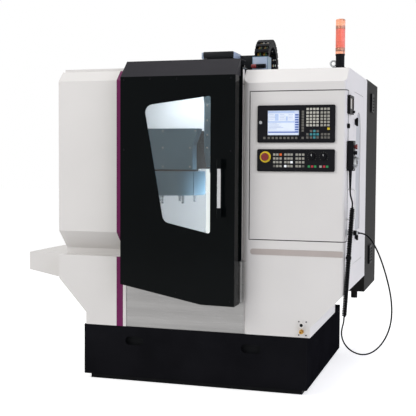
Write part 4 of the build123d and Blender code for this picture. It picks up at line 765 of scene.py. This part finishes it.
class CENTRE_OT_cabinet_trim(bpy.types.Operator):
    """Lays the groove's band and the side trough, fits supply plate, side port and plug, and glazes the service box"""
    bl_idname = "centre.cabinet_trim"
    bl_label = "Cabinet trim"

    def execute(self, context):
        band = slab("groove_band", (336, FRONT + 0.6, 762), (843.5, FRONT + 1.4, 794), 0.2, 1)
        ease(band, lambda a, b: abs(a.y - b.y) > 0.3 and max(a.x, b.x) < 340, 15.5, 8)
        fit(band, "frame", "panel_white", "powder_coat_groove")
        trough = slab("trough_band", (CABINET_RIGHT - 6, FRONT + 391.5, 879),
                      (CABINET_RIGHT - 5.2, FRONT + 588.5, 1555.5), 0.3, 1)
        fit(trough, "side_door", "panel_white", "powder_coat_drive")
        screws = copies("plate_screws", screw_head("plate_screw", OUT_FRONT, 8),
                        [(x, FRONT - 3, z) for x in (611, 651) for z in (334, 407)])
        fit(screws, "frame", "knob_black", "enamel_motor_black")
        insert = turned("socket_insert", (SOCKET_X, FRONT - 3, SOCKET_Z), OUT_FRONT,
                        ((1, 8.9), (15.2, 8.9), (15.6, 8.2), (15.6, 6), (9, 5.6)), 32)
        fit(insert, "frame", "knob_black", "rubber_black")
        port = turned("side_port", (CABINET_RIGHT - 1, FRONT + 38, 1461), OUT_RIGHT,
                      ((0, 13), (12, 13), (14, 11.6), (14, 8), (12, 7)), 24)
        fit(port, "frame", "knob_black", "rubber_black")
        plug = turned("cord_plug", (889, -532.5, 892), OUT_RIGHT,
                      ((0, 12), (2, 14.5), (5, 14.5), (6, 13), (17, 13), (19, 11), (27, 6.5), (33, 5)), 24)
        fit(plug, "frame", "knob_black", "rubber_black")
        pane = slab("service_pane", (CABINET_RIGHT + 11.6, FRONT + 40, 1542),
                    (CABINET_RIGHT + 13.6, FRONT + 152, 1609), 0.6)
        fit(pane, "frame", "knob_black", "smoked_acrylic")
        return {"FINISHED"}


def cover_seam(z, steps=6):
    """The control cover's upper or lower seam, from its left end round the corner to the side."""
    points = [(328.5, FRONT + 1, z), (830, FRONT + 1, z)]
    for i in range(1, steps):
        angle = math.pi / 2 * i / steps
        points.append((830 + 21 * math.sin(angle), FRONT + 22 - 21 * math.cos(angle), z))
    return [*points, (851, FRONT + 22, z), (851, FRONT + 66.5, z)]


class CENTRE_OT_cover_seal(bpy.types.Operator):
    """Lays the dark seal in the seam round the control cover"""
    bl_idname = "centre.cover_seal"
    bl_label = "Cover seal"

    def execute(self, context):
        loop = cover_seam(1649.5) + cover_seam(844.5)[::-1]
        fit(bar("cover_seal", loop, 2.7, 2, True, 2), "frame", "knob_black", "rubber_black")
        return {"FINISHED"}


class CENTRE_OT_pendant_trim(bpy.types.Operator):
    """Graduates the pendant's wheel, caps it and screws its face"""
    bl_idname = "centre.pendant_trim"
    bl_label = "Pendant trim"

    def execute(self, context):
        face = CABINET_RIGHT + 36
        hub = Vector((face, FRONT + 64, 1270))
        ticks = []
        for i in range(40):
            tick = slab("tick", (0, -0.45, 31.5), (0.6, 0.45, 35.5 if i % 10 else 38), 0.15, 1)
            tick.rotation_euler = (math.radians(9 * i), 0, 0)
            tick.location = hub * MM
            ticks.append(settle(tick))
        fit(joined("wheel_graduation", ticks), "frame", "hook_white", "dipped_vinyl_white")
        cap = turned("wheel_cap", (face + 14, hub.y, hub.z), OUT_RIGHT, ((-2, 12), (0.8, 12), (1.6, 10), (1.4, 6)), 32)
        fit(cap, "pendant_wheel", "knob_black", "moulded_nylon_black")
        screws = copies("pendant_screws", screw_head("pendant_screw", OUT_RIGHT, 5),
                        [(face, FRONT + y, z) for y in (31, 97) for z in (1231, 1375)])
        fit(screws, "frame", "zinc_steel", "zinc_plated_steel")
        return {"FINISHED"}


class CENTRE_OT_roof_gear(bpy.types.Operator):
    """Gives the spindle motor its fins, cowl and grille, the box its bridge, lid and conduit, and the lamp its core"""
    bl_idname = "centre.roof_gear"
    bl_label = "Roof gear"

    def execute(self, context):
        fins = []
        for i in range(9):
            a = -64 + 16 * i
            fins.append(slab("fin", (90, a - 1.6, 1652), (97, a + 1.6, 1886), 0.8, 1))
            fins.append(slab("fin", (-97, a - 1.6, 1652), (-90, a + 1.6, 1886), 0.8, 1))
            fins.append(slab("fin", (a - 1.6, 90, 1652), (a + 1.6, 97, 1886), 0.8, 1))
        fit(joined("motor_fins", fins), "head", "motor_black", "enamel_motor_black")
        cowl = slab("motor_cowl", (-95, -95, 1899), (95, 95, 1934), 5)
        dish(cowl, lambda centre, normal: normal.z > 0.99, 9, 3)
        fit(cowl, "head", "motor_black", "enamel_motor_black")
        # Pale plates on the motor's sides: painted highlight of the light falling on the motor's flanks.
        highlight_plates = [slab("motor_highlight_plate", (*low, 1893), (*high, 1931), 1)
                  for low, high in (((94, -88), (97, 80)), ((-107, -88), (-94, 80)), ((-80, 94), (80, 97)))]
        fit(joined("motor_highlight_plates", highlight_plates), "head", "head_grey", "enamel_box_pale")
        rings = []
        for radius in (16, 32, 48, 64, 78):
            loop = [(radius * math.cos(math.pi * k / 12), radius * math.sin(math.pi * k / 12), 1933) for k in range(24)]
            rings.append(bar("grille_ring", loop, 1.5, 3, True, 2))
        for k in range(4):
            x, y = 80 * math.cos(math.pi * k / 4), 80 * math.sin(math.pi * k / 4)
            rings.append(bar("grille_spoke", [(-x, -y, 1932), (0, 0, 1932.4), (x, y, 1932)], 1.6, 2, False, 2))
        fit(joined("motor_grille", rings), "head", "zinc_steel", "zinc_plated_steel")
        bridge = slab("box_bridge", (97, 62, 1802), (184, 96, 1924), 3)
        fit(bridge, "head", "motor_black", "enamel_motor_black")
        # The lid takes the paler copy of the box's blue-grey enamel: painted highlight.
        lid = slab("box_lid", (184, 32.5, 1796), (274, 36, 1908), 2)
        fit(lid, "head", "head_grey", "enamel_box_pale")
        screws = copies("box_screws", screw_head("box_screw", OUT_FRONT, 7),
                        [(x, 32.5, z) for x in (191, 267) for z in (1803, 1901)])
        fit(screws, "head", "zinc_steel", "zinc_plated_steel")
        rings = [(0, 11)]
        for i in range(9):
            rings += [(1 + i * 6.6, 11), (2.2 + i * 6.6, 13.5), (4.8 + i * 6.6, 13.5), (6 + i * 6.6, 11)]
        hose = turned("box_conduit", (210, 18.5, 1852), OUT_RIGHT, rings, 24)
        fit(hose, "head", "chain_black", "moulded_nylon_black")
        plug = turned("box_plug", (178, 18.5, 1852), OUT_RIGHT,
                      ((0, 8), (2, 11), (9, 11), (10, 13), (30, 13), (33, 11)), 24)
        fit(plug, "head", "stop_red", "moulded_abs_red")
        y = FRONT + 200
        core = turned("lamp_core", (784, y, 1892), UP, ((0, 15), (2, 17), (104, 17), (106, 15)), 24)
        fit(core, "frame", "lamp_orange", "polycarbonate_core")
        ends = [turned("lamp_end", (784, y, z), UP, ((0, 17), (2, 19), (16, 19), (18, 17)), 24) for z in (1876, 1996)]
        fit(joined("lamp_ends", ends), "frame", "zinc_steel", "zinc_plated_steel")
        return {"FINISHED"}


PIPE_FALL = (-0.18, 0.12, -1)


class CENTRE_OT_work_space(bpy.types.Operator):
    """Fits the work lamp, the head's covers, the changer's seam, collar and bolts, a dark plate of painted shade on the
    changer's flank, and the coolant pipe
    """
    bl_idname = "centre.work_space"
    bl_label = "Work space"

    def execute(self, context):
        lamp = slab("lamp_body", (-330, FRONT + 14, 1666), (180, FRONT + 86, 1690), 4)
        dish(lamp, lambda centre, normal: normal.z < -0.99, 7, 3)
        fit(lamp, "frame", "hook_white", "powder_coat_offwhite")
        glass = slab("lamp_glass", (-322, FRONT + 22, 1667), (172, FRONT + 78, 1670), 1)
        fit(glass, "frame", "hook_white", "lamp_diffuser")
        cover = slab("head_cover", (-72, -113, 1338), (72, -109, 1622), 1.2)
        fit(cover, "head", "head_grey", "enamel_blue_grey")
        bonnet = slab("head_bonnet", (-85, -110, 1630.5), (85, -94, 1692), 1)
        ease(bonnet, lambda a, b: abs(a.z - b.z) > 40 and max(a.y, b.y) < -108.5, 11, 1)
        fit(bonnet, "head", "head_grey", "enamel_blue_grey")
        screws = copies("head_screws", screw_head("head_screw", OUT_FRONT, 13),
                        [(x, -113, z) for x in (-60, 60) for z in (1352, 1430, 1518, 1608)])
        fit(screws, "head", "zinc_steel", "zinc_plated_steel")
        seam = slab("guard_seam", (213.5, -6, 1062), (217.5, 6, 1205), 0.8)
        seam.rotation_euler = (0, 0, math.radians(-30))
        seam.location = (-0.330, 0, 0)
        fit(settle(seam), "frame", "head_grey", "enamel_blue_grey")
        collar = turned("guard_collar", (*CHANGER_AXIS, 1207.3), UP, ((0, 168), (2, 171), (12, 171), (14, 168)), 64)
        fit(collar, "frame", "bed_dark", "painted_cast_iron_dark")
        # A near-black plate beside the changer's right side: painted shade where the changer's flank lies in shadow
        # between it and the head.
        shade_plate = slab("changer_shade_plate", (-152, -108, 1222), (-149, 271, 1462), 1)
        fit(shade_plate, "frame", "bed_dark", "painted_cast_iron_dark")
        bolts = copies("changer_bolts", screw_head("changer_bolt", OUT_FRONT, 12),
                       [(x, -187, z) for x in (-530, -320, -146) for z in (1236, 1350)] +
                       [(x, -187, 1452) for x in (-530, -320, -112)])
        fit(bolts, "frame", "zinc_steel", "zinc_plated_steel")
        joints = []
        for i in range(9):
            spot = (66 - i * 2.4, -52 + i * 1.6, 1196 - i * 13)
            joints.append(turned("pipe_joint", spot, PIPE_FALL, ((0, 5), (2, 7.5), (7, 8), (10, 6.5), (14, 5)), 16))
        joints.append(turned("pipe_tip", (44.6, -37.6, 1080), PIPE_FALL, ((0, 6), (4, 6), (22, 3), (21, 2)), 16))
        fit(joined("coolant_pipe", joints), "head", "knob_black", "moulded_nylon_black")
        return {"FINISHED"}


class CENTRE_OT_rear_gear(bpy.types.Operator):
    """Adds the rear door's locks, the rear sheets' screws and the lift motor's ring"""
    bl_idname = "centre.rear_gear"
    bl_label = "Rear gear"

    def execute(self, context):
        lock = turned("rear_lock", (0, 0, 0), (-1, 0, 0), ((-1, 15), (1.4, 15), (2.6, 13), (3, 7), (1.6, 6)), 32)
        locks = copies("rear_locks", lock, [(286, 805, z) for z in (640, 1120, 1600)])
        fit(locks, "rear_door", "zinc_steel", "zinc_plated_steel")
        screws = copies("rear_screws", screw_head("rear_screw", OUT_BACK, 10),
                        [(x, REAR_FACE, z) for x in (-800, -620, -440) for z in (760, 1080, 1420, 1740)] +
                        [(x, REAR_FACE, z) for x in (-640, -440) for z in (380, 690)] + [(-800, REAR_FACE, 690)])
        fit(screws, "frame", "zinc_steel", "zinc_plated_steel")
        side = copies("side_screws", screw_head("side_screw", (-1, 0, 0), 9),
                      [(286, y, z) for y in (560, 720) for z in (500, 900, 1340, 1740)])
        fit(side, "frame", "zinc_steel", "zinc_plated_steel")
        hub = turned("motor_ring", (0, 367, 1923), UP, ((-1, 40), (2, 40), (3, 38), (3, 30), (1, 29)), 32)
        fit(hub, "frame", "motor_black", "enamel_motor_black")
        return {"FINISHED"}


# Stage: lengths in metres, light in watts

AMBIENT, SHOWN_WHITE, FLOOR_LIFT = 0.4, 1.0, 0.6
WHITE = (1, 1, 1)
STUDIO_LAMPS = (
    ("key_light", (-3.3, -4.5, 4.5), (0, -0.4, 0.9), 3.0, 152, WHITE),
    ("fill_light", (4.2, -3.6, 3.2), (0.6, -0.3, 1.0), 3.0, 70, (0.92, 0.94, 1.06)),
    ("side_light", (4.6, 0.5, 2.2), (0.85, -0.1, 1.5), 1.6, 26, (0.72, 0.76, 1.2)),
    ("top_light", (0.2, 0.6, 5.2), (0, 0.2, 0), 3.4, 70, WHITE),
)
WORK_LAMP_SIZE, WORK_LAMP_TINT = (0.4, 0.05), (0.86, 0.92, 1.05)
WORK_LAMPS = (
    ("work_light_top", (-0.27, -0.06, 1.66), (-0.25, 0.3, 1.4), 2.5),
    ("work_light_low", (0.2, 0.1, 0.88), (-0.2, 0.3, 0.96), 9),
)
CAMERA_PLACE, CAMERA_LENS = (1.526, -5.2491, 1.270), 76.24
CAMERA_YAW, CAMERA_PITCH, CAMERA_ROLL = (math.radians(angle) for angle in (17.09, 3.04, -0.33))


def area_lamp(name, place, aim, power, tint):
    """A soft lamp at a place, turned to what it lights."""
    bpy.ops.object.light_add(type="AREA", location=place)
    lamp = bpy.context.active_object
    lamp.name = name
    lamp.data.energy = power
    lamp.data.color = tint
    lamp.rotation_mode = "QUATERNION"
    lamp.rotation_quaternion = (Vector(aim) - Vector(place)).to_track_quat("-Z", "Y")
    return lamp


def shown_rays(tree):
    """One for a ray that shows the background: seen straight, mirrored or through glass."""
    seen = add_node(tree, "ShaderNodeLightPath").outputs
    mirrored = add_node(tree, "ShaderNodeMath", {0: seen["Is Camera Ray"], 1: seen["Is Glossy Ray"]},
                        operation="MAXIMUM")
    return add_node(tree, "ShaderNodeMath", {0: mirrored.outputs[0], 1: seen["Is Transmission Ray"]},
                    operation="MAXIMUM").outputs[0]


class CENTRE_OT_stage(bpy.types.Operator):
    """Sets a pale floor, soft light and the camera"""
    bl_idname = "centre.stage"
    bl_label = "Stage"

    def execute(self, context):
        scene = bpy.context.scene
        scene.view_settings.view_transform = "Standard"
        only()
        bpy.ops.mesh.primitive_plane_add(size=60)
        floor = bpy.context.active_object
        floor.name = "stage_floor"
        paper = finish("stage_paper", colours().floor, 0.9, 30.0, 0.0, 0.01, 900)
        tree = paper.node_tree
        lift = add_node(tree, "ShaderNodeMath", {0: shown_rays(tree), 1: FLOOR_LIFT}, operation="MULTIPLY")
        tree.links.new(lift.outputs[0], tree.nodes["Principled BSDF"].inputs["Emission Strength"])
        tree.nodes["Principled BSDF"].inputs["Emission Color"].default_value = (1, 1, 1, 1)
        floor.data.materials.append(paper)
        world = bpy.data.worlds.new("studio")
        scene.world = world
        world.use_nodes = True
        tree = world.node_tree
        tree.nodes["Background"].inputs["Color"].default_value = (1, 1, 1, 1)
        power = add_node(tree, "ShaderNodeMapRange", {"Value": shown_rays(tree), "To Min": AMBIENT,
                                                      "To Max": SHOWN_WHITE})
        tree.links.new(power.outputs[0], tree.nodes["Background"].inputs["Strength"])
        for name, place, aim, size, power, tint in STUDIO_LAMPS:
            area_lamp(name, place, aim, power, tint).data.size = size
        for name, place, aim, power in WORK_LAMPS:
            lamp = area_lamp(name, place, aim, power, WORK_LAMP_TINT)
            lamp.data.shape = "RECTANGLE"
            lamp.data.size, lamp.data.size_y = WORK_LAMP_SIZE
            lamp.visible_camera = False
        bpy.ops.object.camera_add(location=CAMERA_PLACE)
        camera = bpy.context.active_object
        camera.name = "photo_camera"
        camera.data.sensor_width = 36
        camera.data.lens = CAMERA_LENS
        camera.data.clip_end = 100
        yaw, pitch, roll = CAMERA_YAW, CAMERA_PITCH, CAMERA_ROLL
        ahead = Vector((-math.sin(yaw) * math.cos(pitch), math.cos(yaw) * math.cos(pitch), -math.sin(pitch)))
        right = Vector((math.cos(yaw), math.sin(yaw), 0))
        down = ahead.cross(right)
        right, down = (right * math.cos(roll) + down * math.sin(roll), down * math.cos(roll) - right * math.sin(roll))
        camera.rotation_mode = "QUATERNION"
        camera.rotation_quaternion = Matrix((right, -down, -ahead)).transposed().to_quaternion()
        scene.camera = camera
        return {"FINISHED"}


class CENTRE_PT_panel(bpy.types.Panel):
    """Lists the steps that dress the machine"""
    bl_idname = "CENTRE_PT_panel"
    bl_label = "Machining centre"
    bl_space_type = "VIEW_3D"
    bl_region_type = "UI"
    bl_category = "Machining centre"

    def draw(self, context):
        for group in (context.scene.centre_colours, context.scene.centre_sizes):
            for name in group.__annotations__:
                self.layout.prop(group, name)
        for step in STEPS:
            self.layout.operator(step.bl_idname)


STEPS = (CENTRE_OT_finishes, CENTRE_OT_pendant_cord, CENTRE_OT_cable_chain, CENTRE_OT_door_trim, CENTRE_OT_keys,
         CENTRE_OT_screen, CENTRE_OT_unit_trim, CENTRE_OT_cabinet_trim, CENTRE_OT_cover_seal, CENTRE_OT_pendant_trim,
         CENTRE_OT_roof_gear, CENTRE_OT_work_space, CENTRE_OT_rear_gear, CENTRE_OT_stage)
CLASSES = (CENTRE_PG_colours, CENTRE_PG_sizes, *STEPS, CENTRE_PT_panel)


def register():
    """Makes the settings, steps and panel known."""
    for each in CLASSES:
        bpy.utils.register_class(each)
    bpy.types.Scene.centre_colours = bpy.props.PointerProperty(type=CENTRE_PG_colours)
    bpy.types.Scene.centre_sizes = bpy.props.PointerProperty(type=CENTRE_PG_sizes)


def unregister():
    """Takes the settings, steps and panel away."""
    del bpy.types.Scene.centre_sizes
    del bpy.types.Scene.centre_colours
    for each in reversed(CLASSES):
        bpy.utils.unregister_class(each)


def main():
    """Dresses the machine."""
    register()
    for step in STEPS:
        group, name = step.bl_idname.split(".")
        getattr(getattr(bpy.ops, group), name)()


if __name__ == "__main__":
    main()
